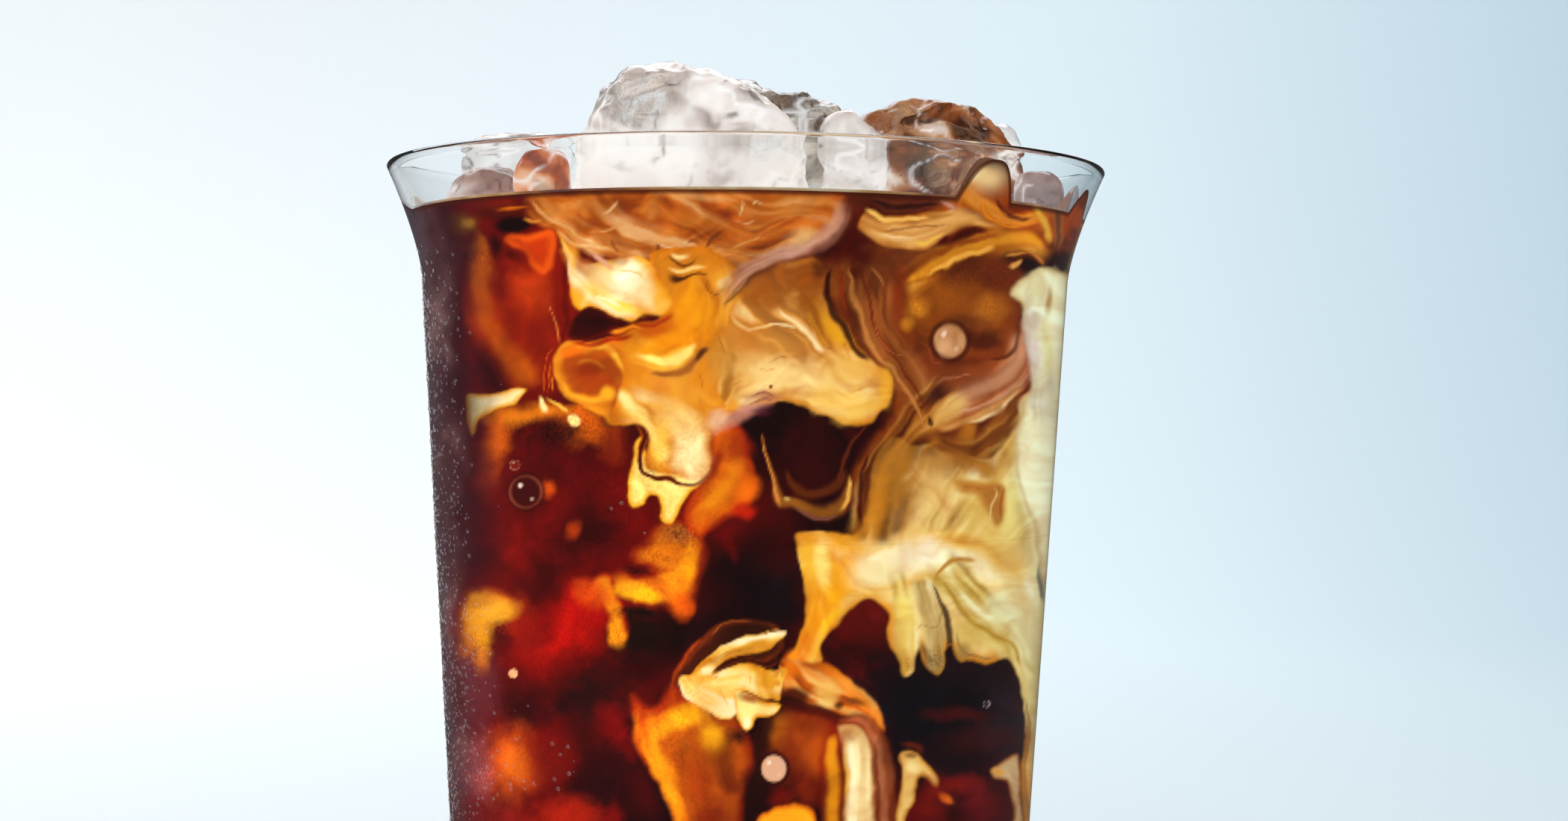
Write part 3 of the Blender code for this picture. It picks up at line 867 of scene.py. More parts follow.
# %% Sunk ice on the right
RIGHT_DEPTHS = """
glow 15.5 124 4.6 12 0 #5e1804 1 .5
glow 13.5 131.5 3 2.2 0 #4a0c02 .9
glow 19.5 132 4.5 4 0 #6a2006 .9
glow 20.5 121 6 8.5 0 #7c3c16 1 .6
glow 33 135.5 9 3.6 0 #8c3a06 1 .5
glow 20.5 137 7 1.6 0 #5a200c .95 .3
glow 27.6 139 3.2 2.4 0 #b86c14 1 .3
glow 28 140.3 2.1 1.5 0 #ecd09c .95
glow 30.6 136.4 1.4 2.2 0 #7a2c06 .8
glow 26.6 135.9 2.2 .9 0 #c05a0a .9
glow 37.4 136.5 1.6 2.8 0 #9c5c18 .9
glow 38 138.6 .7 1.3 0 #ecd8b8 .95
lobe #7c340c #94480c depth=3.4 soft=.8: 20 126.5, 24 128.3, 28.5 129.8, 33 129.6, 35.2 127, 35 121.5,
 34 118.6, 31.5 117.2, 27 116.8, 22.5 118.2, 19.8 121
glow 27.5 127.6 4.4 1.3 10 #743208 .75 0 .35
glow 32.4 127.4 2 1.8 0 #6a2606 .8 0 .3
glow 22.6 123.6 1.7 1.3 12 #d08420 .8 0 .3
glow 21.3 121.5 .9 .9 0 #c87a1c .85
glow 31.2 123.2 2.2 1.8 0 #c4701e .8 0 .25
glow 25.4 124.8 3.4 2 0 #a85810 .7 0 .15
glow 29.4 121 3 1.6 0 #74360c .8
glow 30.4 119.4 3 1.2 0 #4c1a04 .95 .2
glow 19.6 125.5 1.6 3 0 #7a2a0c .7
glow 24 114.5 3.6 2.6 0 #842f10 .9
lobe #8c4014 #9c5028 depth=3 soft=.6 streaks=.45 turn=25 tone=#743010: 21 117.4, 24.5 116.2, 29 116.6,
 33.4 117.6, 35.4 116, 35 112.4, 33 110.6, 29 108.6, 26 108.2, 24.2 109.4, 23 112
silk #743014 #a05428 #b8744c #d09c74 spread=2.6 seed=541 strength=.7: 23.6 110, 27 111.6, 31 113,
 34.4 116.4, 35.4 121
silk #5c2808 #8c4c1c #a86430 #b87840 spread=2.9 seed=542 strength=.7: 17 128, 16.5 123, 18.5 118.5,
 21.5 115, 24 109.5
silk #4a1806 #6a2c0a #8a4814 #a05c20 spread=2 seed=543 strength=.7: 12 130.5, 12.6 125, 14 120.5,
 17.5 116.5, 21 112.5
ribbons soft=.6 strength=.85
ribbon #6a2a0a #521c06: 35 125 .15, 35.1 121.5 .3, 34.4 118.6 .35, 32.4 117.2 .25, 30.6 117.2 .1
ribbon #8c4c2c #b87c58: 24.4 110.6 .5, 26.6 112.2 1, 29.6 113.4 1.3, 32.6 114.6 1.3, 34.6 116.8 1,
 35.4 119.6 .8, 35.7 122.4 .7
ribbon #b06840 #c88058: 24.3 111 .1, 24.6 113.4 .14, 26.2 114.9 .14, 29.4 115.2 .1
ribbon #a05c24 #c88c4c: 23.6 109.6 .3, 26 108.6 .5, 28.6 109.2 .7, 31 110.4 .8, 33.4 111.9 .7, 35.3 114 .4
ribbon #d8a468 #ecc890: 28 108.9 .2, 30 109.2 .3, 32.6 110.8 .35, 35 113.4 .2
note the veil between the disc and the mass below it: brown strands that run down
ribbons soft=.8 strength=.9 fade=1.5 streaks=.8
ribbon #6a2206 #92450f: 21.2 113 1.54, 18.1 104.75 2.2, 17.2 96.5 1.76
ribbon #8a3a0c #b06018: 23 110.6 1.12, 20.4 103.8 1.6, 20 97 1.28
ribbon #8a4410 #b8701c: 25.6 108 1.12, 23.5 103 1.6, 23.6 98 1.28
ribbon #7c3a0c #a86418: 30 109.6 1.4, 27.9 105.55 2, 28 101.5 1.6
ribbon #6e2c08 #9a5412: 33.8 111.4 .91, 31.3 107.45 1.3, 31 103.5 1.04
ribbon #5c1c06 #8c3c0c: 17.8 108.6 .84, 15.1 102.8 1.2, 14.6 97 .96
"""
print("right depths:", RIGHT_DEPTHS.count("\n") - 1, "lines")

# %% [markdown]
# ## The curtain on the right
# Most of the cream hangs here. Its lower edge ends in drips, and it folds where two flows meet.

# %% The great curtain on the right
CREAM_MASS_RIGHT = """
lobe #d88c24 #e8c27c depth=1.6 soft=.28 streaks=.35 turn=60 tone=#c8882c: 7.2 95.6, 7 94, 7.4 92, 8 89.5,
 8.3 87, 7.9 84.6, 6.9 82.2, 6.2 79.6, 9 78.4, 10.6 79.6, 10.4 81.4, 12 83.6, 14 85.9, 15.3 87, 16.7 87.4,
 18.3 86.7, 19.4 85.2, 18.9 83.4, 19.1 81.8, 20.2 80.2, 20.6 78.6, 21.2 77.8, 21.8 78.6, 22 80, 22.7 81.4,
 23 79.9, 24 78.8, 24.9 78.2, 25.7 79.2, 26 81, 27 81.8, 27.4 80.2, 28.1 79.5, 29 79.8, 30.9 79.1,
 32.2 79.7, 33.3 80.2, 34.3 79.4, 35 77.4, 35.5 74.5, 35.7 70, 35.5 64, 35.3 56, 38 56, 40.5 80, 42 112,
 36 113, 34.4 109.4, 33.2 106.4, 31 104.4, 28 105.4, 26 106.6, 22 106.3, 19.2 107.2, 17.4 105, 16.6 101.5,
 15.8 97.5, 14.4 95.4, 11 95.9
within body
silk #b8a064 #d0c088 #e2d8ac #f0e8cc spread=2.8 seed=627 run=14: 36.2 113, 35.8 104, 36.4 96, 37.2 88, 37 70
silk #a06820 #cc9c4c #e6c484 #f2dcac spread=4.6 seed=622: 34.5 111, 31.5 105, 28 99.5, 24.5 93.5
silk #6a300a #9c5816 #c88c3c #e2b468 #f0cc8c spread=5.2 seed=621 fine=1.2: 28.5 111, 23 105, 19 100, 16.5 94
silk #cc8420 #ecb44c #f2d08c #f8e6bc spread=4.4 seed=623 fine=1.3 run=12: 6.5 95, 11.5 91.5, 17 91, 23 92.5,
 29 92.5, 35 88
silk #c05008 #e4820a #f2a41a #f8cc54 spread=2.6 seed=624: 6.6 78, 9.2 82.5, 10.6 87, 10.2 92, 8.6 96
silk #8c6418 #b89038 #dcc47c #ece0b0 spread=3.2 seed=625 fine=1.1: 24.6 93, 28.6 88.5, 32 85, 35 80.5,
 36.6 72
silk #b07c24 #dcb45c #f0d898 spread=1.8 seed=626 fade=1.5: 19.6 92, 20.8 87, 21.3 82.5, 21.2 77
within all
silk #34100a #6a300c #a8641c #d49c4c #e8bc74 spread=3.4 seed=631 strength=.85 fade=2: 27.5 114, 22.5 108.5,
 19 104, 17 99.5, 16 94
silk #4c1c08 #8c4c14 #c08c40 #e0b870 spread=1.8 seed=632 fade=2: 36 113, 33 108, 29 105.5, 24.5 107.5
within body
silk #7c5420 #b08a4c #d8c08c #e6d4a8 spread=1.7 seed=628 fade=1.5: 23.4 91, 23.8 87, 24.6 83, 24.8 78
glow 19.6 101.8 4 5 -20 #b0701f .9
glow 17.3 99 1.2 3.6 -14 #d08420 .8
glow 24 100.5 2.6 3.4 0 #e2b268 .7
glow 11.8 90.5 4.4 4.6 0 #eeA01c .9
glow 8.8 92 1.2 3 8 #eeb438 .8
glow 10.6 91.6 1 3.6 12 #f6d878 .85
glow 8.9 95.1 1.4 .9 0 #e08c14 .85
glow 12.4 88 1.6 3.2 -38 #f2a410 .9
glow 9.4 84.4 1.2 4 0 #f0960e .95
glow 11.4 84.6 .7 2 -38 #f8bc20 .85
glow 8.2 82 1.4 2 0 #e87c0a .9
glow 18.5 91 4.5 2 20 #eed69c .8
glow 23 93.2 3.2 1.8 20 #ecd2b0 .75
glow 20.6 83 .9 2.4 0 #e4bc60 .8
glow 21 86 1 2.4 20 #e4bc58 .8
glow 24.4 85.2 1.3 3.2 0 #ccaa6c .6
glow 24.6 80 1.1 1.4 0 #a07c44 .8 0 .5
glow 23.3 81 .5 1.2 20 #6c441c .8
glow 21.2 79.4 .6 1 0 #c08830 .7 0 .3
glow 30 83.6 2.6 3 30 #c8a048 .8
glow 28.6 81 1.1 1.2 0 #94682c .7
glow 33.6 86.6 2.6 2.2 25 #dcd0a0 .8
glow 31.5 97 3.2 4.5 0 #d4a852 .8
glow 34 98 1.6 4 0 #e0c878 .75
glow 36.8 100 1.4 8 0 #e0cc9c .6
glow 36.2 108 1.6 5 0 #dcc8a0 .6
glow 34 92 2 2 0 #d8b468 .6
glow 35 88 .9 3 25 #d4b070 .7
glow 35.6 83 1.6 2.6 0 #e0d0a0 .6
glow 36.4 72 .5 8 0 #c0a06c .6
glow 29.4 104.6 3.8 1.8 6 #9c5c18 .9
glow 30.4 103.6 1.8 1 -35 #a86a14 .85
lobe #c48a3c #a4601a depth=1 soft=.45 streaks=.5 turn=20 tone=#c89048: 26.6 102.3, 28.2 102.3, 29.8 101.9,
 31.8 102.1, 33.4 101.6, 33.5 99.6, 33 97.2, 32 96.6, 30.6 98.6, 29.4 99.8, 27.4 100.4
ribbons soft=.6 strength=.9
ribbon #a86014 #94500e: 33.4 102 .15, 33.2 100.6 .25, 32.7 98.6 .2, 32.8 96.8 .1
ribbon #d8a860 #e4bc7c: 31.6 101.6 .1, 32.4 100.4 .14, 31.6 98.6 .14, 31 96.6 .1
ribbon #6a3a14 #2c0e0a: 24.6 90.2 .12, 25.3 87.8 .3, 26.2 85.2 .5, 26.7 82.6 .6, 26.8 79 .7
ribbon #c8943c #b47424: 24.7 90.1 .12, 26 91.4 .3, 28 92.2 .4, 30.4 91.8 .3
ribbon #cca850 #b4842c: 26 90.4 .3, 27.4 87.4 .5, 29.4 85 .5, 31.8 83.2 .45, 34 81.6 .3, 35.2 79 .2
ribbon #e0cc8c #e8dcac: 27.6 88.6 .3, 29.8 86.4 .5, 32.4 84.8 .4
ribbon #a88850 #8c6a3c: 25.1 88.6 .08, 25.6 86.6 .12, 25.2 84.4 .14, 24.2 83.8 .12, 22.8 84 .12,
 22.2 82.8 .1
ribbon #a87c44 #8a5c2c: 27.3 84 .1, 28.2 81.6 .2, 29.6 80.4 .2, 31 79.9 .2, 32.4 80.4 .1
ribbon #8a8c7c #4a4c50: 37.9 98.6 .1, 37.3 94.6 .25, 37.1 90.6 .28, 37 87 .1
ribbon #7a4418 #a0682c: 35.5 76 .12, 35.9 72 .22, 35.8 66 .22, 35.6 58 .2
within all
"""
print("cream mass right:", CREAM_MASS_RIGHT.count("\n") - 1, "lines")

# %% [markdown]
# ## The flow in the middle
# The cream that was poured in last hangs in golden lobes, each with a thin orange edge and a dark line.

# %% The flow in the middle
CONTINENT = """
lobe #e48c1c #a8480c depth=1.7 soft=.25 streaks=.3 turn=20 tone=#8c3408: -24.2 118.2, -24.7 115.8,
 -24.2 113.4, -22.8 111.8, -20.4 110.8, -18.4 109.8, -17 108.8, -14 109, -12 111, -12 116, -14 119.6,
 -16 119, -19.5 118.4, -22.5 118.8
ribbon #c87014 #f0ac34 soft=.7: -22.6 117.8 .3, -20.4 118.3 .5, -18.2 118 .7, -16.4 116.6 .8,
 -15.2 114.6 .8, -15 112.4 .6, -16.4 111.2 .4
ribbon #a85010 #c87820 soft=.9 strength=.6: -22 115.4 .3, -20.6 116.4 .5, -18.8 116 .4, -17.6 114.8 .2
ribbon #d87c14 #eca028 soft=.8: -24 114.2 .3, -22.6 112.4 .5, -20 111.6 .6, -17.4 111.6 .5
glow -20.2 115 1.8 1 0 #8c2c06 .9
glow -18.4 117.2 1.6 .7 10 #c25408 .7
glow -18.6 113.6 2.4 .8 0 #a23c08 .7
glow -17.6 112 .9 .9 0 #f4a824 .95
glow -22.4 117.6 1.6 .6 10 #e8700c .8
note second lobe of the flow, and the dark line that parts it from the first
lobe #f2a81c #f9d878 depth=.9 soft=.2: -13.6 107.2, -14.3 104.4, -15 101, -15.1 99.2, -14.4 98.2,
 -13.2 98.4, -12.5 99.3, -11.8 99.9, -11 99.6, -10.8 98.3, -10.5 97, -9.9 96.3, -9.2 96.4, -8.5 97.4,
 -7.7 99.2, -6.9 100.8, -5.6 102.4, -8 103.5, -12 104.5
ribbon #b84c08 #4c0c00 soft=.5: -14.2 109.2 .5, -13.1 107.2 .45, -13.4 104.8 .42, -12.9 102.9 .42,
 -11.2 102.2 .4, -9.6 102.2 .36, -8 101.5 .3, -6.2 101.9 .26, -4.8 103 .2
note the golden body
lobe #da7c10 #e08c20 depth=1.6 soft=.26 streaks=.5 turn=50 tone=#b4580a: -12.5 129.8, -9.5 130.6, -5.5 131,
 -3 129.5, -.8 127.6, 3 127, 5 120, 5 112.5, .4 110.6, -2.6 109.4, -4.4 107.6, -4.7 106.2, -4.5 104.8,
 -4.9 103.5, -6 102.5, -7.6 102.1, -9.2 102.5, -10.8 102.8, -12.2 103.2, -12.8 104.4, -12.4 106.4,
 -12.9 108.2, -15 108.9, -17.2 109.2, -16.4 111.6, -15.8 115, -16.2 118.4, -14 120.8, -11 122, -11.5 125.5
within body
ribbon #eab044 #f8d888 soft=.8: -20 112.6 .3, -17 112.2 .8, -14.4 110.6 1.1, -12.2 108.4 1.2,
 -10.8 105.6 1.2, -10 103.8 .7
silk #a04806 #cc700e #f6ae38 #f8c868 spread=3.1 seed=501 strength=.7: -15 118.5, -10 117, -5.5 119.5,
 -3.6 124, -5 128.5
silk #d07c18 #f6bc58 #f8dc9c spread=3.1 seed=502 strength=.7: -16 111.5, -12 110, -8 108, -6.5 104.5
silk #b84c04 #d87408 #f0a018 spread=2.3 seed=503 strength=.7: -14 121.5, -10.5 121.2, -7.5 123.5, -6 127.5
within all
note the swoop to the right
lobe #dc8c20 #e0a04c depth=1.8 soft=.26 streaks=.55 turn=-45 tone=#b8702c: 0 127.4, 3 128.4, 6 129.2,
 9.4 129.2, 10.5 127.2, 11.1 125, 12.5 122.2, 14.3 119.4, 16.3 117, 18.1 115.6, 19.4 114.2, 19.3 112.4,
 18.2 110.7, 16.4 109.3, 14.3 108.7, 12.2 109.2, 10 110.2, 7 111.3, 4.4 111.8, 2 111, -.5 110.3, -3 112,
 -3.2 116, -2.4 120, -1.4 124
within body
silk #c07428 #d4882c #f2c474 #f6dca0 spread=2.9 seed=511 strength=.7: -2 112, 3 114, 8 113.5, 13 112, 18 112
silk #9c541a #bc6a1e #dc9440 #f2c080 #f4d494 spread=4.4 seed=512 strength=.7: -1.5 125, 2.5 122, 7 119,
 12 115.5, 16 112.5
silk #7c3808 #a85818 #d89038 #e0a868 spread=2.3 seed=513 strength=.7: 1 128, 5 127.5, 9 125.5, 11.5 121,
 14 117.5
silk #9c5c24 #b87428 #e8b060 #f4cc88 spread=2.9 seed=514 strength=.7: -4 121, -3 117, -4 113, -6.5 109.5
within all
glow 5.2 126.6 6.5 2.6 0 #9c5218 .9 .1
glow 2.8 124.9 3 1.7 0 #b8641a .85
glow 8.2 127 1.8 2.6 12 #94480f .9
glow 9.6 128.2 1 1.6 0 #5a2008 .8
glow 9 123.6 1.8 4 24 #a4560f .8
glow 11.4 121 .9 2.8 32 #dc9614 .85
glow 3 118.8 5 2 -12 #dc9440 .6
glow 7 114.6 7.5 2.2 -10 #f2cc84 .8
glow 12.5 112 4 1.6 -8 #f0bc5c .85
glow 13 115.5 3 2 0 #eab458 .7
glow 18.4 113.2 .9 2.2 0 #eaa832 .85
glow 15.6 110.4 3 .9 20 #f0bc50 .7
glow .8 110.6 2.8 .9 16 #c48474 .85
glow 2.6 112.4 2.4 .7 0 #c07a58 .8
glow -.8 109.3 2.2 .8 20 #c88068 .75
glow -3.4 109.4 1.6 1.2 30 #e8b890 .75
glow -6.6 122.8 2.4 4 0 #ee9810 .85
glow -8.6 119.2 4.6 1.6 0 #ee900c .9
glow -12 120.6 2.2 .8 10 #d65e08 .9
glow -13.2 117.8 2 1.4 0 #f09c14 .8
glow -9 112.8 5 1.6 -8 #e89c34 .7
glow -8.5 108.6 3.4 2 -30 #f6cc7c .85
glow -7.2 105.2 2.3 2.6 0 #f8dfa0 .9
glow -11 106.6 1.2 3.2 0 #f4bc44 .8
glow -3 116.8 1.8 3 0 #d09038 .7
glow -11.5 113.6 1.4 1.4 0 #d87c28 .6
note the bright upper-left lobe
lobe #ec9818 #f4cc78 depth=1.6 soft=.24 streaks=.3 turn=-35 tone=#e09c38: -24.7 131.9, -22.8 130, -21 128.4,
 -18.5 128.6, -16.2 129.2, -13.5 129.6, -11.8 128, -11.3 126.6, -9.8 125, -9.2 123.4, -11 122.6, -13 122.4,
 -14.6 121.3, -17 122.1, -19.6 122.9, -21.2 122.4, -22.3 123.9, -22.6 126, -22.8 128, -23.7 130.2
within body
ribbon #b87024 #8a4810 soft=.9: -24.2 131.4 .3, -22.8 129.6 .7, -21.4 127.8 .9, -20.2 126.4 .7, -19 125.6 .3
ribbon #c07c38 #94521c soft=.9 strength=.8: -22 130 .5, -19.4 129.2 1.1, -16.6 128.9 .9, -14.2 128.9 .4
silk #c87818 #e0982c #f8e4b4 #fbe8c4 spread=2.2 seed=521 strength=.7: -24 131.5, -22 128, -19.5 125.6,
 -16 123.8, -12 123.6
silk #c88840 #e8b058 #fcecc8 spread=1.7 seed=522 strength=.7: -22.5 130.5, -18.5 128.2, -14.5 126.2,
 -11 124.4
within all
glow -22.4 129.6 1 1.6 30 #e08c24 .8
glow -20.4 128 1.9 1 -30 #b4662c .8
glow -17.4 126.2 3 1.5 -20 #f4d290 .8
glow -14.8 126.4 2.6 2 -20 #fae6bc .95
glow -13 124.6 2 1.6 -20 #f8deA4 .85
glow -19 124.9 2 .8 -28 #f4c458 .8
glow -21.4 124.2 .9 1.2 0 #f0a014 .8
glow -15.5 123 2.6 .6 -18 #ffd040 .8
glow -10.8 124.4 1 1.4 0 #f0aa2c .8
ribbons soft=.55 strength=.9
ribbon #f0a030 #f8bc48: -24.4 131.6 .1, -22.6 129 .25, -21.4 126.6 .2
ribbon #c8805c #d89c7c: -20.2 130.2 .2, -18.4 128.8 .45, -17 127.4 .2
ribbon #fbe0a0 #fff0c4: -19.8 124.6 .1, -17.4 124 .25, -15.6 122.8 .1
ribbon #e8a850 #d89038: -16.8 128 .1, -14.6 127.6 .16, -12.6 126.2 .1
note the eye's lids and the band behind it
ribbon #d86c10 #b83c04: -14.7 121 .3, -12.4 121.1 .5, -10.4 121.9 .5, -8.8 122.8 .2
ribbon #d85c0c #9c2402: -23 118.7 .3, -19.8 118.4 .4, -16.6 118.9 .4, -14 119.9 .25
ribbon #c45008 #ee8a18: -17.6 119.6 .2, -16 120 .45, -14.4 120.7 .4, -12.8 120.6 .2
note curls along the top edge
ribbon #a85c1c #4c1c06: -10.3 129.8 .12, -9.4 129.1 .24, -8 128.5 .24, -6.9 128.8 .24, -6.6 129.6 .2
ribbon #e4ac58 #f4d08c: -9.8 129.9 .2, -8.4 129.4 .42, -7.2 129.8 .2
ribbon #8a3c0c #2c0602: -10 127.2 .4, -9 126.6 .7, -8 126.7 .3, -6.6 127.4 .16, -5.2 127.5 .12,
 -4.3 127.1 .06
ribbon #e8ac50 #f6cc7c: -10.4 128 .2, -8.4 127.7 .36, -6.4 128.2 .3, -4.6 128.2 .2
ribbon #b46c20 #6c2c08: -4.4 127 .1, -4.9 126.2 .16, -4.7 125.2 .16, -3.6 124.9 .12, -2.8 124.9 .06
ribbon #eab058 #f6cc84: -3.9 126 .5, -2.8 126.2 .7, -1.8 126.8 .4
ribbon #b8742c #8c4c14: -.2 126.2 .08, -1.4 124.9 .14, -2.4 124.1 .14, -3 123.7 .08
ribbon #e0a468 #ecc088: .4 127.2 .1, -.8 125.9 .2, -2 124.8 .2
note the bright crescent and its shadow
ribbon #f4b42c #fbdc78: -14.4 117.4 .3, -12.4 116.9 .8, -10 116.5 1.1, -7.6 117.2 .9, -5.8 118.6 .3
ribbon #d08c34 #94501c: -12.8 114.9 .3, -10.6 114.7 .6, -8.2 115.3 .8, -6 116.8 .7, -4.4 118.4 .4
ribbon #a85c1c #5c2c0c: -6.2 116.6 .3, -5.2 117.6 .5, -4.4 118.4 .3
ribbon #c07828 #a85c1c: -6.2 115.8 .12, -5.4 114.4 .18, -5.2 113.2 .1
ribbon #c07820 #b06818: -3.6 120.2 .12, -2.6 118.6 .2, -2.4 117.6 .1
note pale folds in the swoop
ribbon #e8aa54 #f4c888: -1.8 123.2 .15, -1 121.8 .28, .6 121.1 .3, 2.6 121 .25, 4.6 121.4 .15
ribbon #e4b06c #f4d49c: 4.2 123.6 .15, 5.6 122.2 .3, 7.4 120.8 .34, 9.2 119.2 .4, 10.6 117.6 .3
ribbon #e4b06c #f4d49c: 3 121.2 .1, 5.2 121.2 .2, 7 120.8 .2
ribbon #d89428 #bc7414: 8 123.4 .2, 9 121.2 .4, 10.2 119.2 .4, 11.2 118.4 .2
ribbon #b86c14 #a05808: 10 118.9 .08, 10.8 118.5 .14, 11.6 118.5 .06
ribbon #c87c1c #b46c14: 12.6 119.4 .1, 13.4 118 .16, 13.6 116.8 .08
ribbon #d08c38 #b87428: 2.6 116.4 .08, 4.4 117.1 .14, 6.2 117.5 .08
ribbon #d08c38 #c07c30: -2 113.6 .08, -.8 114.2 .12, .4 114.3 .06
ribbon #d89c48 #c88838: 1.4 116.2 .06, 3 115.7 .1, 4.4 116 .06
ribbon #c07850 #a05c40: .6 112.4 .15, 2.6 112.9 .3, 4.6 112.2 .15
ribbon #b06c58 #98504c: .6 111.2 .12, 2.4 111.9 .2, 4 111.8 .12
note veil of pink that climbs to the level
ribbon #a05c38 #7c3c20: 3 129.9 .06, 6 130.4 .12, 8.6 131.2 .12, 9.8 131.9 .06
ribbon #844838 #b88068 soft=.95 strength=.45 fade=3: -3 124.6 .5, .4 127.8 1.2, 3.6 129.4 1.3, 7 130.4 1.1,
 10 132 1, 11.6 134.6 1
silk #5a2418 #90503c #b87c64 #d4a48c spread=1.6 seed=531 strength=.5 fine=.6: -4 123.5, -.5 127.2,
 3.6 129.2, 8 130.8, 11.5 133.5, 12.5 137
glow 3.5 113.6 .18 .22 0 #8c3c08 1 .6
glow 2.6 110.2 1.4 .7 0 #5c2430 .8
"""
print("continent:", CONTINENT.count("\n") - 1, "lines")

# %% [markdown]
# ## Folds at the upper right
# Where the cream meets ice and wall it folds into bright and dark bands.

# %% Folds at the upper right
RIGHT_TOP = """
lobe #c06c14 #dc9c50 depth=1.1 soft=.25 streaks=.45 turn=-8 tone=#b87434: 14.2 133.5, 15.2 134.9, 18 135.1,
 21.5 134.8, 25 135.5, 28 135.6, 31 134.8, 34 134.1, 37 133.8, 35 133.4, 31 133.3, 28 133.2, 25.5 132.3,
 24.3 131.2, 23.2 130.4, 22 130.5, 20 131, 17.5 131.6, 15.5 132.5
within body
silk #94501c #c8843c #e0a860 #f0cc94 spread=2.3 seed=545 strength=.85 fine=.7: 13 134.4, 18 133.2, 22 132.4,
 26 134, 32 134.2, 38 133.6
within all
silk #6a2a08 #a4540c #cc7c1c #e49c38 spread=2.4 seed=546 fine=1.1: 20 125.6, 24.5 128.6, 30 130.8, 35 132.4,
 39 130
silk #6a2006 #a84c0a #d47c1c #eca848 spread=2 seed=547 strength=.75: 26 138.5, 30 136, 34.5 134.4, 39 135
ribbons soft=.55 strength=.92
ribbon #e4a040 #f0bc64: 15 135.4 .3, 18 134.7 .4, 21.4 134.3 .3, 24 134.6 .2
ribbon #c08040 #985c28: 17 133.2 .12, 20.2 133.3 .2, 23.4 133.4 .16, 26 133.8 .08
ribbon #e0a444 #f0bc54: 21 131.4 .2, 22.8 131.2 .45, 24.2 132 .3, 25.8 132.9 .1
ribbon #7c2404 #4a0800: 25.4 131 .3, 27.4 132.1 .75, 29.6 132.7 .6, 31.6 132.6 .2
ribbon #a8580c #d68a20: 20.6 126.4 .3, 22.6 127.6 .9, 25.6 129.3 1.15, 28.6 130.5 1.1, 31.6 131.6 1.1,
 34.6 132.2 1.2, 36.8 131.8 1, 38 130.4 .5
ribbon #e0982c #eaac4c: 23.4 127.4 .2, 26.2 128.9 .4, 29.4 130 .35, 32.6 131.2 .3
ribbon #8c3c08 #a85010: 24 129.4 .2, 27 131 .35, 30.2 131.7 .3, 33.4 132.6 .2
ribbon #7c3820 #3e140c: 16 136.5 .4, 19.4 136.1 .75, 22.8 136.1 .6, 25.2 136.5 .2
ribbon #a86048 #c88c74: 24.6 137 .2, 26 136.3 .4, 27.4 135.3 .2
ribbon #a84808 #d87c10: 30 137 .2, 30.6 135 .4, 32.6 133.9 .3, 35.2 133.6 .2
ribbon #7c2c04 #5a1a02: 31.6 137.4 .2, 32.6 135.6 .35, 34.8 134.6 .3, 37 134.6 .15
ribbon #b8741c #d8a03c: 36.6 137 .3, 37.2 135.2 .5, 38.4 133.2 .45, 38.7 131 .3
ribbon #8c5c34 #64341c: 38.2 137.4 .3, 39.4 135.4 .5, 39.6 133 .5, 39.4 130.6 .3
ribbon #b86c24 #d89040: 33 130 .12, 34.4 130.3 .22, 36 130.3 .2
ribbon #c8823c #e0a058: 35.2 129.7 .1, 34.2 129.1 .42, 33.3 128.4 .34
ribbon #8c4414 #b87030: 35.4 130.7 .15, 36.8 129.9 .32, 37.5 128.6 .25
note folded lines left of the ice
ribbon #5a1404 #1e0302: 11.4 128.7 .15, 10.9 126.8 .45, 11.3 124.2 .6, 12.6 121.2 .6, 14.4 118.4 .5,
 16.6 116.4 .35
ribbon #6a1c04 #8c300a: 11.6 128.6 .12, 12.6 128 .3, 12.9 125.6 .3, 13.6 122.6 .25
ribbon #8c4818 #b87438: 13.4 129 .15, 14 126.4 .3, 14.6 123.2 .45, 15.8 120 .55, 17.6 117.2 .5,
 19.8 114.8 .45, 21.6 112.4 .4, 23 110 .3, 23.6 108.2 .15
ribbon #5c1c08 #742a0c: 14.4 129.2 .15, 15.3 126 .25, 16.2 122.6 .3, 17.8 119.4 .3, 20 116.2 .25,
 22.6 113 .2, 24 110.2 .12
ribbon #a85c2c #c07840: 15.6 128.6 .1, 17 127 .2, 17.9 125.4 .1
ribbon #8c3c14 #a8562c: 16.4 123.6 .1, 17.2 120.4 .18, 19 118 .18, 21.2 117.6 .08
ribbon #8a3c18 #a05028: 22 119.6 .08, 23.6 118.4 .16, 24.4 116.8 .14, 26.2 116.4 .08
ribbon #5c2008 #3c1004: 23.9 110.4 .15, 24.2 109.4 .35, 24.4 108.6 .15
note pale column down the right wall
lobe #ccae78 #eadcb0 depth=.9 soft=.3 streaks=.35 tone=#c4aa78: 36.2 128.2, 37.6 128.5, 39.8 127.8,
 41.6 125, 41.6 120, 41.4 116, 41 84, 38.4 84, 37 92, 35.6 100, 34.4 106, 34.8 109.8, 35.6 112.2, 36 114.6,
 35.9 117, 35.8 119.4, 35.3 122.2, 34.9 124, 34.1 124.7, 33.6 125.4, 34.2 126.6
silk #a89070 #b49c90 #d0c098 #e4d8b0 spread=1.6 seed=551 strength=.7: 36.6 128, 36.6 122, 37.2 116, 37.4 108
glow 36.4 126.2 1.3 1.6 0 #dccc98 .85
glow 36.2 121.6 1 1.8 0 #cbb29c .85
glow 36.6 117.8 .9 2.4 0 #c8a4a0 .6
glow 38 124.4 .4 1.8 0 #b08438 .8
glow 38 118 .5 3 0 #d8c480 .7
glow 37.8 110 1.2 6 0 #dccca4 .6
"""
print("right top:", RIGHT_TOP.count("\n") - 1, "lines")

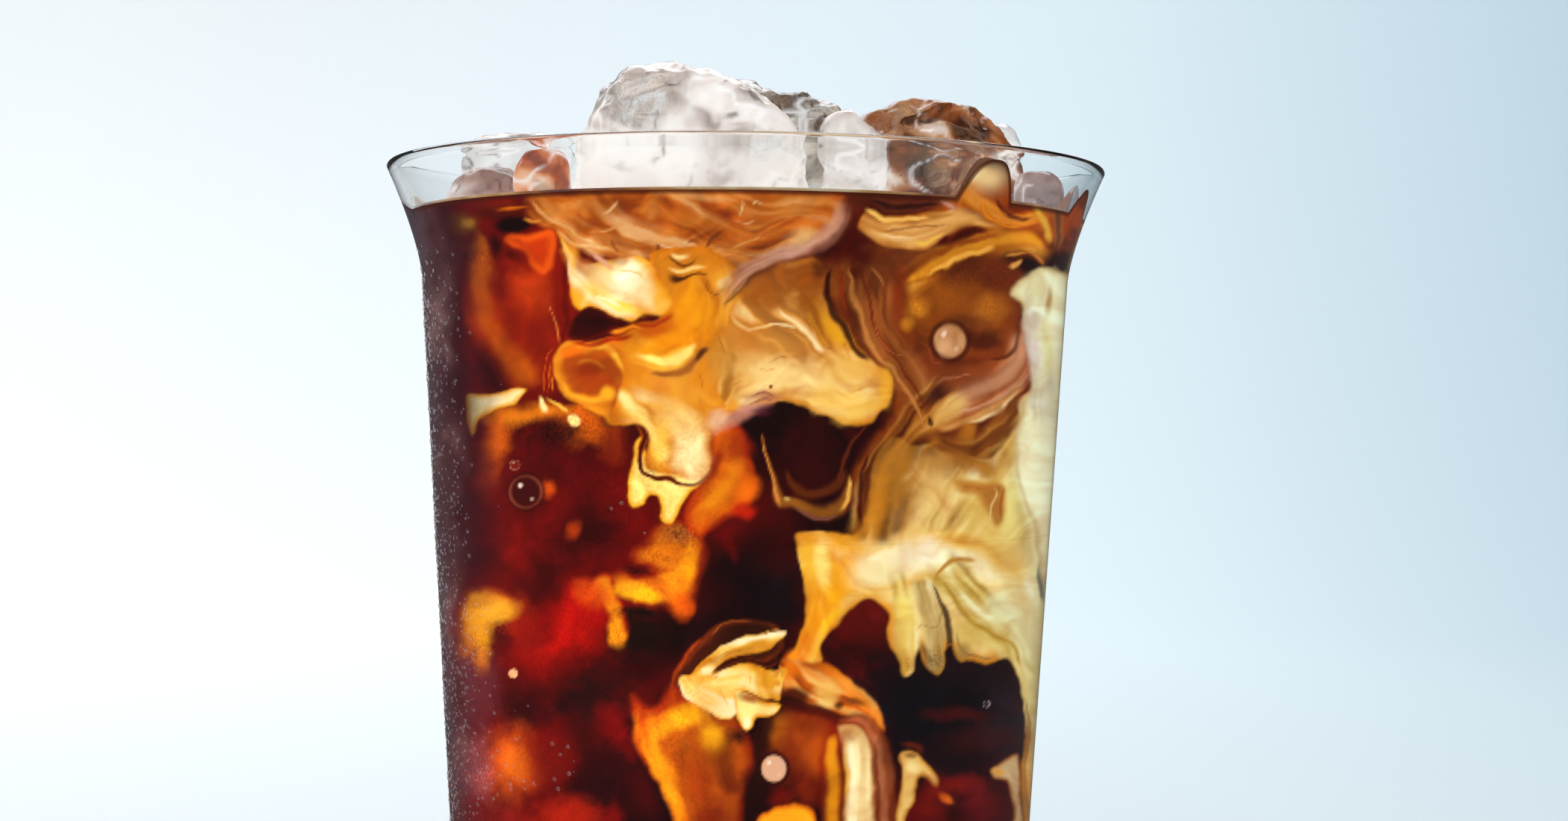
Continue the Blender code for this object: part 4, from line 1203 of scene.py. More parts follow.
# %% [markdown]
# ## A hooked veil
# One thin veil curls round a dark hollow below the middle.

# %% A hooked veil
HOOK = """
ribbons soft=.6 strength=.9
ribbon #5c1808 #74340c: 5.2 103.6 .3, 6.4 101.4 .7, 8.4 100.2 .8, 10.6 100.4 .8, 12.4 101.6 .8,
 13.4 103.6 .4
ribbon #7c3c10 #a0601c: 2.2 107.8 .15, 3 104.8 .3, 3.9 101.8 .45, 4.7 99.7 .75, 6.6 99.3 .7, 8.6 98.5 .75,
 10.6 98.1 .85, 12.6 98.8 .95, 13.5 100.6 .7, 13.8 102.8 .2
ribbon #c05c20 #e09448: 2.2 107.6 .1, 2.9 104.6 .2, 3.8 101.6 .25, 4.5 99.4 .3, 5.2 98.8 .2
ribbon #c87c2c #eeb458: 12.2 98.2 .2, 13.4 99.4 .35, 13.8 101 .35, 13.7 102.6 .12
ribbon #b88c4c #d8b06c: 5 100 .2, 5.8 99.7 .3, 6.4 99.6 .15
ribbon #7a4030 #94584c: 6.4 98.9 .1, 8.6 97.9 .22, 10.8 97.6 .22, 12.6 98 .12
ribbon #5c1c08 #7c3414: 16.2 109.4 .15, 14.2 106.8 .3, 12.9 103.8 .3, 12.2 101.4 .15
ribbon #7c2c08 #3e0e03: 16.2 105.4 .2, 15.4 101.8 .4, 15 98.6 .45, 15.6 96.4 .3
"""
print("hook:", HOOK.count("\n") - 1, "lines")

# %% [markdown]
# ## A knot of cream
# A falling drop has rolled itself into a knot with folds, trailing a veil.

# %% A curled knot of cream
ROSETTE = """
lobe #8a3610 #4c1c08 depth=.8 soft=.3 streaks=.5 turn=25 tone=#2c0e04 strength=.9: -8.6 76.4, -8.4 78.6,
 -6.8 80.6, -5 82.6, -2.8 84, 0 84.6, 2.6 84.4, 4.6 83.6, 5 81, 2 79, -3 78, -6.4 76.6
ribbons soft=.6 strength=.9
ribbon #6a1c06 #a03c0c: -9.4 75.6 .3, -8.8 78 .5, -7.2 80.4 .4, -5.2 82.6 .2
ribbon #7a3410 #b05c20: -4.6 82.2 .1, -2.8 83.8 .2, -.6 84.5 .2, 1.4 84.5 .1
note veils right of the rosette
ribbon #e05c0a #f88c10: 6.2 81.6 1, 7.2 79.4 1.4, 9.6 78.2 1
lobe #8a3408 #b8601c depth=.9 soft=.35 streaks=.5 turn=-32 tone=#7c2c08: 5 79.8, 8 79.6, 10.5 79.4,
 12.4 78.6, 14.5 76.8, 16.5 75.4, 18 73.6, 18.6 70.8, 16.6 71.6, 14 73, 12 73.2, 10 73.4, 7.6 74.2,
 5.4 75.4, 4.8 77.6
within body
silk #5a1806 #b8540c #e8882c #f2bc6c spread=2.6 seed=651 strength=.85 fade=1.2: 4 80, 8 77.4, 11.5 75.8,
 15 74.6, 19.4 70.6
silk #a0440c #e07c14 #f0a43c spread=1 seed=652 fade=1.2: 7.4 79.8, 10.6 79, 13.6 76.6, 17 73.6
glow 6.4 78.6 1.3 .9 0 #e8740c .85
glow 11 76.2 1.4 1.4 0 #eeb458 .75
glow 10.8 74.6 1.2 .6 0 #f4c470 .8
glow 14.6 74.6 1.5 .45 -14 #5a2c14 .8
glow 12.6 74.3 .7 .45 0 #3c180a .8
glow 7 75.4 1.6 1.1 0 #4a1204 .9 .2
within all
silk #2c0804 #5c1806 #90380e spread=1 seed=653 strength=.85 fade=1.2: 4.6 75, 9 73.6, 13 72.6, 16.6 70.6,
 19.6 66.8
note the rosette itself
lobe #dc8c18 #f2c464 depth=.9 soft=.16 streaks=.3 turn=20 tone=#e09428: -8 77.6, -8.1 76.2, -7.2 74.9,
 -5.6 74, -4.2 73.3, -3 72.7, -1.6 72.6, -.9 73.2, .2 73.6, 1.6 73.2, 3.6 74.8, 5 74.7, 5.2 76.5, 5.9 78.5,
 5.2 79, 3.6 78.5, 2 79, 0 79, -2 78.6, -3.9 77.9, -3.8 78.6, -2 79.7, 0 80.1, 3 80.7, 4.6 82, 5.4 83.2,
 3 82.8, 0 82.3, -2.2 81.4, -4 80.7, -5.6 79.2, -6.6 78.1
within body
silk #a85410 #e8981c #f6c860 #fbe8b4 spread=1.7 seed=661 strength=.9 fade=.5: -8.2 76.6, -6.4 79.4, -3.6 81,
 0 81.8, 6 83.4
silk #cc7c14 #f0b03c #f8d88c #fdf0cc spread=1.9 seed=662 strength=.9 fade=.5: -8.4 78, -6.8 75.6, -4.4 74.4,
 -1.8 73.6, 1 74.4
silk #b8640f #eca428 #f6cc70 #fbe4ac spread=1.9 seed=663 strength=.9 fade=.5: -5.4 77.6, -2.6 77.4, .6 77.8,
 3.6 77.2, 6.4 77.4
silk #c87414 #f0a82c #f8d070 spread=1.4 seed=664 strength=.7 fade=.5: 3 80, 3 77.4, 3.8 75, 4.6 73.4
within all
lobe #f09c10 #fadc84 depth=.6 soft=.14: -1 75.8, -.8 74.2, -.6 72.6, .2 71.6, .9 71.1, 1.6 71.5, 1.9 72.4,
 2.4 72.8, 3.8 72.8, 4.8 73.3, 5.1 74, 4.2 74.4, 3 74.6, 2 75.2, .8 75.8
glow -5.4 75.6 1.6 1 -25 #f8dc90 .5
glow -2.4 73.7 1.6 .8 0 #fae4a8 .95
glow -4.8 77.4 1.6 .7 20 #f0a41c .7
glow -1.4 76.4 1 1.2 0 #f6cc68 .5
glow .9 77.2 1.2 .8 0 #f9e29c .5
glow .8 72.2 .6 .7 0 #fff0bc .95
glow 4 73.4 .7 .35 12 #fae4a0 .85
glow 2 81.4 2.4 .5 14 #e09c28 .8
glow -2.4 80.7 1.4 .4 28 #f4cc6c .8
glow 1 74.9 1.4 .55 -8 #9c4408 .9
glow 3.6 77.2 .7 1.3 10 #e8a024 .7
ribbons soft=.55 strength=.9
ribbon #7c3008 #360a02: -4 78.2 .15, -2.6 79.1 .34, -.6 79.5 .34, 1.6 79.4 .34, 3.4 79.5 .5, 4.6 80.6 .4
ribbon #b85c10 #6c2004: -.4 75 .12, .4 75.6 .2, 1.8 75.4 .24, 3.2 74.7 .26, 4.6 74.4 .14
ribbon #e89c24 #d0800f: -5.6 77 .08, -4 77.8 .12, -2.6 77.4 .08
ribbon #e8a83c #d8901c: -3 76.4 .08, -2.2 75 .12, -1.2 73.8 .08
ribbon #e8ac48 #dc9830: .6 78.4 .06, 1.2 77 .12, .8 76.2 .06
ribbon #dc9424 #c87c14: 2.8 78.4 .08, 3.2 77 .12, 3.8 75.8 .06
ribbon #e8ac3c #d08818: 3.6 78.4 .06, 4 76.8 .1, 4.6 75.4 .06
ribbon #f4c050 #fad478: 4.6 78.6 .08, 5.2 77.4 .14, 5.2 75.8 .1
ribbon #d08818 #b8680c: -5.8 78.6 .1, -3.8 80 .14, -1.4 80.6 .1, 1.6 81 .06
ribbon #d89430 #f0b44c: -1 82.2 .06, 2 82.8 .14, 5.2 83.6 .08
ribbon #5c2404 #3c1202: -.8 73.2 .08, -.7 72.6 .2, -.2 72 .1
"""
print("rosette:", ROSETTE.count("\n") - 1, "lines")

# %% [markdown]
# ## Columns at the bottom
# Heavier cream sinks in columns whose heads roll over like mushrooms.

# %% Columns at the bottom
BOTTOM_RIGHT = """
ribbons soft=.7 strength=.9
ribbon #4c1206 #8c3814: 12 72.6 .8, 15.6 71.8 1.2, 18 69 1.5, 18.8 64 1.7, 18.4 56 1.7
ribbon #a03c08 #e08c14: 11.4 71 .8, 11.9 67.6 1.3, 12.1 64 1.3, 11.6 56 1.2
silk #5c1808 #8c3c18 #b87048 spread=1.6 seed=671 strength=.7: 12.6 73, 16 71.6, 18.4 68.4, 18.8 63, 18.4 54
lobe #b87440 #f6dca8 depth=1.1 soft=.35 streaks=.2 turn=85 tone=#e0ac60: 12.2 71.2, 12.8 72, 14.6 71.6,
 16.4 70, 17.2 67.6, 17.4 63, 17 56, 12.4 56, 13.2 60, 13.6 64, 13.6 67, 13.2 69
within body
silk #d0944c #f0cc88 #fdf0d0 spread=1.5 seed=672 strength=.7 fade=.8: 12.6 72, 15 70.4, 15.9 67, 15.8 62,
 15 54
glow 13.4 70.6 1.5 1.2 -30 #9c5420 .8
glow 13.6 66 .5 4 0 #f0b030 .8
within all
lobe #e06c0c #f6aa1c depth=.9 soft=.25: 1.6 56, 2.4 60.2, 4 61.2, 6 61.9, 8 62.1, 9.3 61.4, 9.9 59.8, 10 56
lobe #c07c28 #e2b468 depth=.6 soft=.18 streaks=.3 turn=70 tone=#c88834: 20.7 67.3, 20.8 68.2, 21.8 68.8,
 23 68.5, 24 67.4, 25.2 66, 25.9 65, 25.6 64.3, 24.8 64.4, 24.2 65.2, 23.6 65.4, 22.9 64.4, 22.2 62.2,
 21.2 60, 20.4 56, 18.8 56, 20 60.6, 20.7 64, 21.1 66.2
glow 22.4 68.1 .8 .4 0 #7c4820 .85
glow 22.6 66.4 .9 .8 0 #f0cc88 .8
ribbon #5a1c0c #7c2c10 strength=.7: 20.4 69.2 .2, 22.4 69.6 .6, 24 68.4 .4
lobe #945828 #bc9468 depth=.5 soft=.2: 32.1 65.4, 31.9 66.4, 33.2 67.4, 34.4 68.6, 35.2 68.6, 35.5 66,
 35.3 62, 35.2 56, 34.1 56, 34.2 62, 34 64.8, 33.3 65.3
glow 32.7 66.1 .7 .5 0 #c8862c .9
glow 26.4 62.9 .9 .5 -35 #f07820 .95
glow 25.6 64 2 1.4 0 #8a1a08 .6
glow 24 61.6 2 2.4 0 #7c1408 .7
glow 28.8 64.6 1.8 1 0 #7c140c .7
glow 31 61.5 2.4 3 0 #701216 .6
glow 28 73.4 4.4 .8 0 #5c1410 .8
glow 26.5 79.4 5 1.5 0 #2c0c0c .3
"""
print("bottom right:", BOTTOM_RIGHT.count("\n") - 1, "lines")

# %% [markdown]
# ## Small curls on the left
# A few bright tongues of cream reach the left side.

# %% Small bright curls on the left
LEFT_DETAILS = """
note the eye
lobe #5a0c02 #380602 depth=.7: -22.6 121.2, -21.2 122.6, -19.6 122.9, -17.2 122.1, -14.6 121.1, -17 119.9,
 -19 119.2, -21.6 118.9, -23.2 119.5
glow -19.6 121 2.4 .7 0 #240301 .8
note the pale wedge
lobe #e8a024 #f8dc9c depth=.7 soft=.16: -34.9 112.2, -33.4 112.3, -31.4 112.4, -29.4 112.9, -27.9 112.7,
 -28.4 111.6, -30 110.9, -31.8 110.3, -33 109.5, -33.8 108.5, -34.2 107.5, -34.7 107.7, -35 109.8
glow -32.6 111.3 1.6 .5 15 #fbe8bc .9
ribbons soft=.5 strength=.9
ribbon #f0a840 #fadc98: -26.6 112 .1, -26.3 110.8 .4, -25.8 110 .5, -25.2 109.8 .3
ribbon #f09c20 #f8c450: -26 111.6 .2, -24.6 111.1 .25, -23.2 110.3 .3, -22.2 109.5 .3
ribbon #b83c08 #d85c10: -26.2 111.6 .1, -25.9 114 .16, -25.6 116.4 .1, -24.8 118.2 .06
ribbon #c04408 #e06814: -25.6 111.8 .1, -25.2 114.4 .14, -25.1 116.6 .1
ribbon #d85c0c #ec8420: -24.9 112 .1, -24.9 113.4 .12, -25 115 .08
ribbon #c05018 #e08040: -25.3 124 .06, -24.7 121.4 .12, -24.3 119.4 .16, -24.3 118.2 .14
glow -21.9 108.9 .62 .62 0 #fadc8c 1 .55
"""
print("left details:", LEFT_DETAILS.count("\n") - 1, "lines")

# %% [markdown]
# ## Fibres and billows
# Stirred cream is drawn out into fine fibres, and the dark parts billow softly. Both come from noise in
# bent coordinates, which scales the colours up and down.

# %% Fibres
def cream_fibres(art):
    """Draws every cream out into fibres, and lets the dark billow."""
    x, z = art.wx, art.wz
    u = x + 6 * cloud(x, z, 11.0, 401)
    v = z + 6 * cloud(x, z, 9.0, 411)
    u, v = u + 2.2 * cloud(u, v, 4.0, 421), v + 2.2 * cloud(u, v, 4.0, 431)
    fine = cloud(u * 0.6, v * 1.4, 2.0, 441, 4)
    broad = cloud(u, v, 5.5, 451, 3)
    milk = smooth_step(0.05, 0.4, art.colour[:, 1])[:, None]
    shift = (0.6 * fine + 0.4 * broad)[:, None] * np.array([0.2, 0.42, 0.62])
    art.colour *= np.exp(milk * shift + (1 - milk) * 0.55 * broad[:, None])
    art.colour = np.clip(art.colour, 0.0, 1.0)

# %% [markdown]
# ## Beads of air
# A few round beads of air cling to the wall, painted as light shows them: a pale disc in a dark ring, with two
# small painted highlights.

# %% Bubbles
def bubbles(art):
    """Air beads on the inner wall, painted as light shows them: dark ring, pale middle and two highlights."""
    for x, z, r, pale, ring in (
        (26.4, 119.3, 2.15, "#b87c4c", "#5c2408"),
        (4.3, 66.2, 1.75, "#e4ac90", "#3c0e04"),
        (-28.0, 100.2, 1.95, "#480c08", "#8c4430"),
        (-29.4, 103.5, 0.6, "#7c2014", "#c87860"),
        (-29.3, 77.8, 0.6, "#f0a878", "#7c2014"),
        (31.3, 74.6, 0.4, "#3c2c30", "#a08890"),
    ):
        turn = np.arctan2(art.z - z, art.x - x)
        far = np.hypot(art.x - x, art.z - z) / r
        speckle = 0.5 + 0.5 * cloud(art.x, art.z, 0.8 * r, 601, 2)
        art.fill(smooth_step(1.02, 0.9, far) * 0.95, ramp(speckle, [(0.0, ring), (0.3, pale), (1.0, "#e4ac7c")])
                 if r > 1 and x > 0 else hex_linear(pale))
        # painted shade: a dark halo round each bead, and a ring that is lighter on two sides
        art.fill(np.exp(-((far - 1.14) / 0.1) ** 2) * (0.7 if r > 1 else 0.3), hex_linear("#2c0804"))
        art.fill(np.exp(-((far - 1.0) / 0.09) ** 2) * (0.72 + 0.26 * np.sin(2 * turn + 0.8)), hex_linear(ring))
        # two painted highlights on each bead
        painted_glint = np.hypot(art.x - x + 0.35 * r, art.z - z - 0.4 * r) / r
        art.fill(smooth_step(0.2, 0.08, painted_glint) * 0.75, hex_linear("#ffe4d0"))
        painted_glint = np.hypot(art.x - x - 0.4 * r, art.z - z + 0.45 * r) / r
        art.fill(smooth_step(0.18, 0.08, painted_glint) * 0.4, hex_linear("#f0c8b0"))

# %% [markdown]
# ## Shade, dew and reflection on the left wall
# The drink is painted darker along the left side, a painted shade. The cold wall has dew on it, which greys
# the drink there, and a painted reflection of the bright room, where the wall turns away, greys it further.

# %% Painted shade, dew and painted reflection on the left wall
def edges(art):
    """The strip at the left wall: painted shade, grey dew and painted reflection, and a grey line at its edge.
    """
    x, z = art.wx, art.wz
    wall = np.interp(z, [60, 70, 80, 90, 100, 110, 120, 130, 136],
                     [-36, -36.5, -37.2, -38, -38.6, -39, -39.8, -40.3, -41.5])
    depth = x - wall + 1.0 * cloud(x, z, 8.0, 131)
    # painted shade: the drink darkens towards the left wall
    shade = smooth_step(9.5, 3.0, depth) * np.interp(z, [56, 70, 84, 92, 110, 136],
                                                     [0.45, 0.32, 0.2, 0.75, 0.92, 0.92])
    art.fill(shade, hex_linear("#38101a"))
    reach = np.interp(z, [56, 66, 76, 83, 90, 98, 136], [3.6, 4.2, 4.0, 2.4, 3.4, 4.6, 4.6])
    # dew on the cold wall and a painted reflection of the bright room grey the strip by the wall
    dew_and_painted_reflection = smooth_step(reach, 0.5, depth) * np.interp(z, [56, 66, 80, 90, 110, 136],
                                                      [0.85, 0.7, 0.55, 0.6, 0.6, 0.6])
    value = np.clip(0.5 + 0.8 * cloud(x * 2.0, z * 0.8, 5.0, 141, 4), 0, 1)
    art.fill(dew_and_painted_reflection, ramp(value, [(0.0, "#381a1e"), (0.5, "#5e4044"), (1.0, "#94746f")]))
    # a greyer line at the very edge of the wall, of the same dew and painted reflection
    art.fill(smooth_step(1.0, 0.0, x - wall) * 0.6, hex_linear("#54424a"))
    for spot in ((-33.4, 82.4, 1.4, 3.2, 8, "#f0a018", 0.75), (-31.4, 85.4, 2.2, 1.2, 10, "#f4b02c", 0.7),
                 (-33.0, 79.4, 1.0, 1.8, 0, "#e07810", 0.5)):
        art.glow(*spot)
    wet = smooth_step(4.0, -12.0, x) * smooth_step(114.0, 104.0, z) * (0.6 + 0.4 * cloud(x, z, 9.0, 151))
    art.grain = np.maximum(art.grain, np.maximum(0.6 * dew_and_painted_reflection, 0.34 * wet))

# %% [markdown]
# ## The whole front
# The order matters, because what comes later lies in front.

# %% Front pattern
def paint_front(x, z):
    art = Painting(x, z)
    base(art)
    art.draw(LEFT_SIDE)
    art.draw(LOWER_LEFT)
    art.draw(CENTRE_GLOWS)
    top_haze(art)
    art.draw(RIGHT_DEPTHS)
    art.draw(CREAM_MASS_RIGHT)
    art.draw(CONTINENT)
    art.draw(RIGHT_TOP)
    art.draw(HOOK)
    art.draw(ROSETTE)
    art.draw(BOTTOM_RIGHT)
    art.draw(LEFT_DETAILS)
    cream_fibres(art)
    edges(art)
    for spot in ((-4.4, 74.6, 3.4, 1.8, -20, "#dc8c28", 0.4), (0.0, 119.9, 2.4, 2.6, 10, "#c4701c", 0.45),
                 (-27.6, 81.6, 2.2, 3.4, 0, "#8c1004", 0.55), (31.0, 70.2, 5.0, 1.8, 4, "#4c120c", 0.5)):
        art.glow(*spot)
    bubbles(art)
    art.colour = np.clip(art.colour, 0.0, 1.0)
    brightness = np.clip(art.colour @ np.array([0.3, 0.6, 0.1]), 0.004, 1.0)
    art.colour = DEEPEN_GAIN * art.colour ** RICHNESS * (brightness ** DEEPEN_POWER)[:, None]
    return art

# %% [markdown]
# ## From the skin of the drink to the picture plane
# The pattern is laid out on an upright plane through the tumbler's axis, as an eye in front sees it. Each
# point of the skin needs its place there. The eye sees the skin through a bent wall of glass, so a sight line
# enters the wall at one bearing and meets the drink at another. Both are worked out from the law of
# refraction along many sight lines, and the rest is read off between them.

# %% Sight lines through the wall
GLASS_INDEX = 1.5


def bearings_through_wall(radius, wall):
    """For sight lines side by side: the bearing where each enters the wall, and where it meets the drink."""
    entry = np.radians(np.linspace(-81.0, 83.0, 400))
    x, y = radius * np.sin(entry), -radius * np.cos(entry)
    away = np.hypot(x - EYE[0], y - EYE[1])
    reach = ((x - EYE[0]) * EYE[1] - (y - EYE[1]) * EYE[0]) / away  # how far the line misses the axis
    part = np.clip(np.abs(reach) / radius, 0.0, 1.0)
    bend = np.arcsin(np.clip(part * radius / (GLASS_INDEX * (radius - wall)), 0, 1))
    bend = bend - np.arcsin(part / GLASS_INDEX)
    return entry, entry - np.sign(entry) * bend


entry, inner = bearings_through_wall(38.0, WALL)
order = np.argsort(inner)
entry, inner = entry[order], inner[order]


def seen_at(bearing, height):
    """Where an eye in front sees a point of the skin, on the upright plane through the axis."""
    entering = np.interp(bearing, inner, entry)
    x = outer_radius(height) * np.sin(entering)
    y = -outer_radius(height) * np.cos(entering)
    scale = -EYE[1] / (y - EYE[1])
    return EYE[0] + (x - EYE[0]) * scale, EYE[2] + (height - EYE[2]) * scale


print("the eye sees bearings from", np.degrees(inner[0]).round(1), "to", np.degrees(inner[-1]).round(1))

# %% [markdown]
# ## The far side
# Nobody placed the cream at the back, so a rule does: noise that is bent by noise, then bent again, curls as
# cream does in coffee. Cream is rich near the level and thins out downwards.

# %% Marbled cream at the back
def marbled(along, height):
    """Colours of cream curling in coffee, for places in millimetres on the unrolled wall."""
    bend_x = cloud(along, height, 24.0, 201)
    bend_z = cloud(along, height, 20.0, 211)
    curl_x = cloud(along + 26 * bend_x, height + 20 * bend_z, 17.0, 221, 4)
    curl_z = cloud(along + 22 * bend_z, height + 26 * bend_x, 15.0, 231, 4)
    u, v = along + 17 * curl_x + 8 * bend_x, height + 21 * curl_z
    value = 0.5 + 0.62 * cloud(u, v, 19.0, 241, 4) + 0.16 * cloud(u, v * 1.8, 4.0, 251)
    value = value + np.interp(height, [5, 40, 75, 105, 125, 136], [-0.32, -0.26, -0.13, 0.0, 0.14, 0.2])
    deep = ramp(0.5 + 0.8 * cloud(along, height, 13.0, 261),
                [(0.0, "#1c0a0c"), (0.35, "#3c0606"), (0.6, "#7c1004"), (0.8, "#b83006"), (1.0, "#e06a0c")])
    milk = ramp(value, [(0.42, "#6a2408"), (0.5, "#b05c14"), (0.56, "#de9226"), (0.64, "#e8b45c"),
                        (0.74, "#eecc94"), (0.9, "#f0dab4")])
    body = smooth_step(0.40, 0.49, value)
    colour = deep + body[:, None] * (milk - deep)
    rim = np.exp(-((value - 0.43) / 0.016) ** 2) * 0.6
    return 0.8 * (colour + rim[:, None] * (hex_linear("#2c0804") - colour))

# %% [markdown]
# ## Painting the skin
# One function gives every point of the drink's wall its colour and its grain. In front it follows the laid
# out picture, and past the sides it passes into the marbled rule, with an uneven border so that no seam
# shows. A thin dark line marks where the drink ends at the wall.

# %% Skin colours
CLIMBS = (  # bearing and half width in degrees, height in millimetres, squareness
    (41.2, 6.0, 4.4, 2.6),
    (72.5, 5.5, 3.1, 2.0),
    (-84.0, 12.0, 1.5, 1.6),
)


def climb(bearing):
    """How far the drink's edge stands above the level at a bearing."""
    rise = np.zeros_like(bearing)
    for middle, half, height, squareness in CLIMBS:
        away = np.abs((np.degrees(bearing) - middle + 180) % 360 - 180) / half
        rise = np.maximum(rise, height * np.clip(1 - np.clip(away, 0, 1) ** squareness, 0, 1) ** 1.2)
    return rise


def painted_skin(bearing, height):
    """Colour and grain for points of the wall."""
    x, z = seen_at(bearing, height)
    art = paint_front(x, z)
    turned = (np.degrees(bearing) + 360) % 360 - 180
    along = np.radians(turned) * outer_radius(height)
    back = marbled(along, height)
    near = np.abs(np.degrees(bearing))
    near = near + smooth_step(88.0, 102.0, near) * (40.0 * cloud(along, height, 26.0, 291)
                                                    + 16.0 * cloud(along, height, 7.0, 293))
    near_side = smooth_step(116.0, 88.0, near)
    on_right = np.degrees(bearing) > 0
    low_border = smooth_step(28.0, 58.0, height + 12.0 * cloud(along, height, 11.0, 295))
    near_side = near_side * np.where(on_right, low_border, 1)
    tint = np.where(on_right[:, None], hex_linear("#d8b880"), hex_linear("#5a2420"))
    tint = tint * np.exp(0.3 * cloud(along, height, 6.0, 271))[:, None]
    back = back + (0.75 * near_side)[:, None] * (tint - back)
    border = np.abs(np.degrees(bearing)) + 4.0 * cloud(along, height, 9.0, 281)
    share = smooth_step(77.0, 88.0, border)
    colour = art.colour + share[:, None] * (back - art.colour)
    grain = art.grain * (1 - share)
    slope = (climb(bearing + 0.005) - climb(bearing - 0.005)) / (0.01 * 40.0)
    edge = (LEVEL + climb(bearing) - height) / np.sqrt(1 + slope ** 2)
    pale = np.exp(-((np.degrees(bearing) - 40.6) / 3.4) ** 2 - ((height - LEVEL - 2.4) / 1.3) ** 2)
    colour = colour + (0.7 * pale)[:, None] * (hex_linear("#f2cc8c") - colour)
    line = 0.85 * smooth_step(0.62, 0.2, edge)
    colour = colour + line[:, None] * (hex_linear("#3a1006") - colour)
    return np.clip(colour, 0.0, 1.0), grain


probe = painted_skin(np.radians(np.array([0.0, 40.0, 180.0])), np.array([110.0, 90.0, 100.0]))
print("probe colours", probe[0].round(2).tolist())

# %% [markdown]
# ## Blocks of drink
# A pattern carried by the points of a mesh is as sharp as its points are close. The front shows strands a
# fifth of a millimetre wide, so its points are that close, evenly as the eye sees them, and the back can be
# coarser. To keep each mesh small enough, the drink is cut into closed blocks that meet inside, where nobody
# sees them. The skin reaches just into the wall of the glass, so that no film of air shows between them.

# %% Block builder
SKIN_REACH = 0.2
SURFACE_DROP = 12.0


def skin_radius(height):
    """The drink's radius at a height, with the cavity's round corner at the bottom."""
    radius = inner_radius(height) + SKIN_REACH
    low = FLOOR + FLOOR_ROUND
    sunk = np.clip((low - height) / FLOOR_ROUND, 0.0, 1.0)
    return radius - FLOOR_ROUND * (1 - np.sqrt(np.clip(1 - sunk ** 2, 0.0, 1.0)))


def carry(mesh, colours, name, values):
    """Gives a mesh's points their colours, and one more value each under a name."""
    layer = mesh.attributes.new("paint", "FLOAT_COLOR", "POINT")
    with_alpha = np.column_stack([colours, np.ones(len(colours))])
    layer.data.foreach_set("color", with_alpha.astype(np.float32).ravel())
    mesh.attributes.new(name, "FLOAT", "POINT").data.foreach_set("value", values.astype(np.float32))


def painted_object(name, points, faces, smooth, colours, grain, material):
    """A mesh object with colours and grain on its points. Its first faces, smooth of them, are curved skin."""
    mesh = bpy.data.meshes.new(name)
    mesh.from_pydata((points * MM).tolist(), [], faces)
    mesh.polygons.foreach_set("use_smooth", [i < smooth for i in range(len(mesh.polygons))])
    carry(mesh, colours, "grain", grain)
    mesh.materials.append(material)
    made = bpy.data.objects.new(name, mesh)
    scene.collection.objects.link(made)
    return made


def grid_faces(rows, columns):
    """Quads of a grid of points, numbered row by row."""
    corner = (np.arange(rows - 1)[:, None] * columns + np.arange(columns - 1)[None, :]).ravel()
    return np.stack([corner, corner + 1, corner + columns + 1, corner + columns], axis=1).tolist()


def drink_block(name, bearings, shares, low, high, material):
    """A closed block of the drink between two bearings. high may rise with the bearing."""
    rows, columns = len(shares), len(bearings)
    across, share = np.meshgrid(bearings, shares)
    top = high(bearings)[None, :]
    height = low + (top - low) * share
    radius = skin_radius(height)
    wall = np.stack([radius * np.sin(across), -radius * np.cos(across), height], axis=-1).reshape(-1, 3)
    colours, grain = painted_skin(across.ravel(), height.ravel())
    faces = grid_faces(rows, columns)
    count = rows * columns
    # the top steps in and down, to leave room for the hollows under the ice
    rings = [(skin_radius(high(bearings)) - 1.0, high(bearings))]
    if high(bearings).max() > LEVEL - 1.0:
        rings = [(skin_radius(LEVEL) - 1.2, LEVEL - 1.6),
                 (skin_radius(LEVEL - SURFACE_DROP) - 1.0, LEVEL - SURFACE_DROP)]
    extra, row_of = [], [[(rows - 1) * columns + i for i in range(columns)]]
    for ring_radius, ring_height in rings:
        extra.append(np.stack([ring_radius * np.sin(bearings), -ring_radius * np.cos(bearings),
                               np.zeros(columns) + ring_height], axis=-1))
        row_of.append(list(range(count, count + columns)))
        count += columns
    for outer, inner in zip(row_of, row_of[1:]):
        faces += [(outer[i], outer[i + 1], inner[i + 1], inner[i]) for i in range(columns - 1)]
    faces.append(tuple(row_of[-1]))
    faces.append(tuple(reversed(range(columns))))
    # the flat side reaches up to the top's lowest ring, and a narrow face closes each end above it
    flat_rows = int(np.sum(height[:, [0, -1]].max(axis=1) <= np.max(rings[-1][1]) + 0.001)) - 1
    left = [row * columns for row in range(rows)]
    right = [row * columns + columns - 1 for row in range(rows)]
    for row in range(flat_rows):
        faces.append((left[row], left[row + 1], right[row + 1], right[row]))
    last_ring = row_of[-1]
    faces.append((left[flat_rows], last_ring[0], last_ring[-1], right[flat_rows]))
    if flat_rows < rows - 1:
        faces.append(tuple(left[flat_rows:] + [ring[0] for ring in row_of[1:]]))
        faces.append(tuple([ring[-1] for ring in reversed(row_of[1:])] + list(reversed(right[flat_rows:]))))
    points = np.concatenate([wall] + extra)
    colours = np.concatenate([colours, np.tile(hex_linear("#4a0708"), (len(rings) * columns, 1))])
    grain = np.concatenate([grain, np.zeros(len(rings) * columns)])
    return painted_object(name, points, faces, (rows - 1) * (columns - 1), colours, grain, material)

# %% [markdown]
# ## What the drink's skin looks like
# Coffee behind glass has no gloss of its own, because glass and water bend light nearly alike: the shine
# comes from the tumbler. The colour is the paint on the points. Fine grain stands for the tiny drops of dew
# on the cold wall. A little glow stands for daylight that comes through the glass from behind.

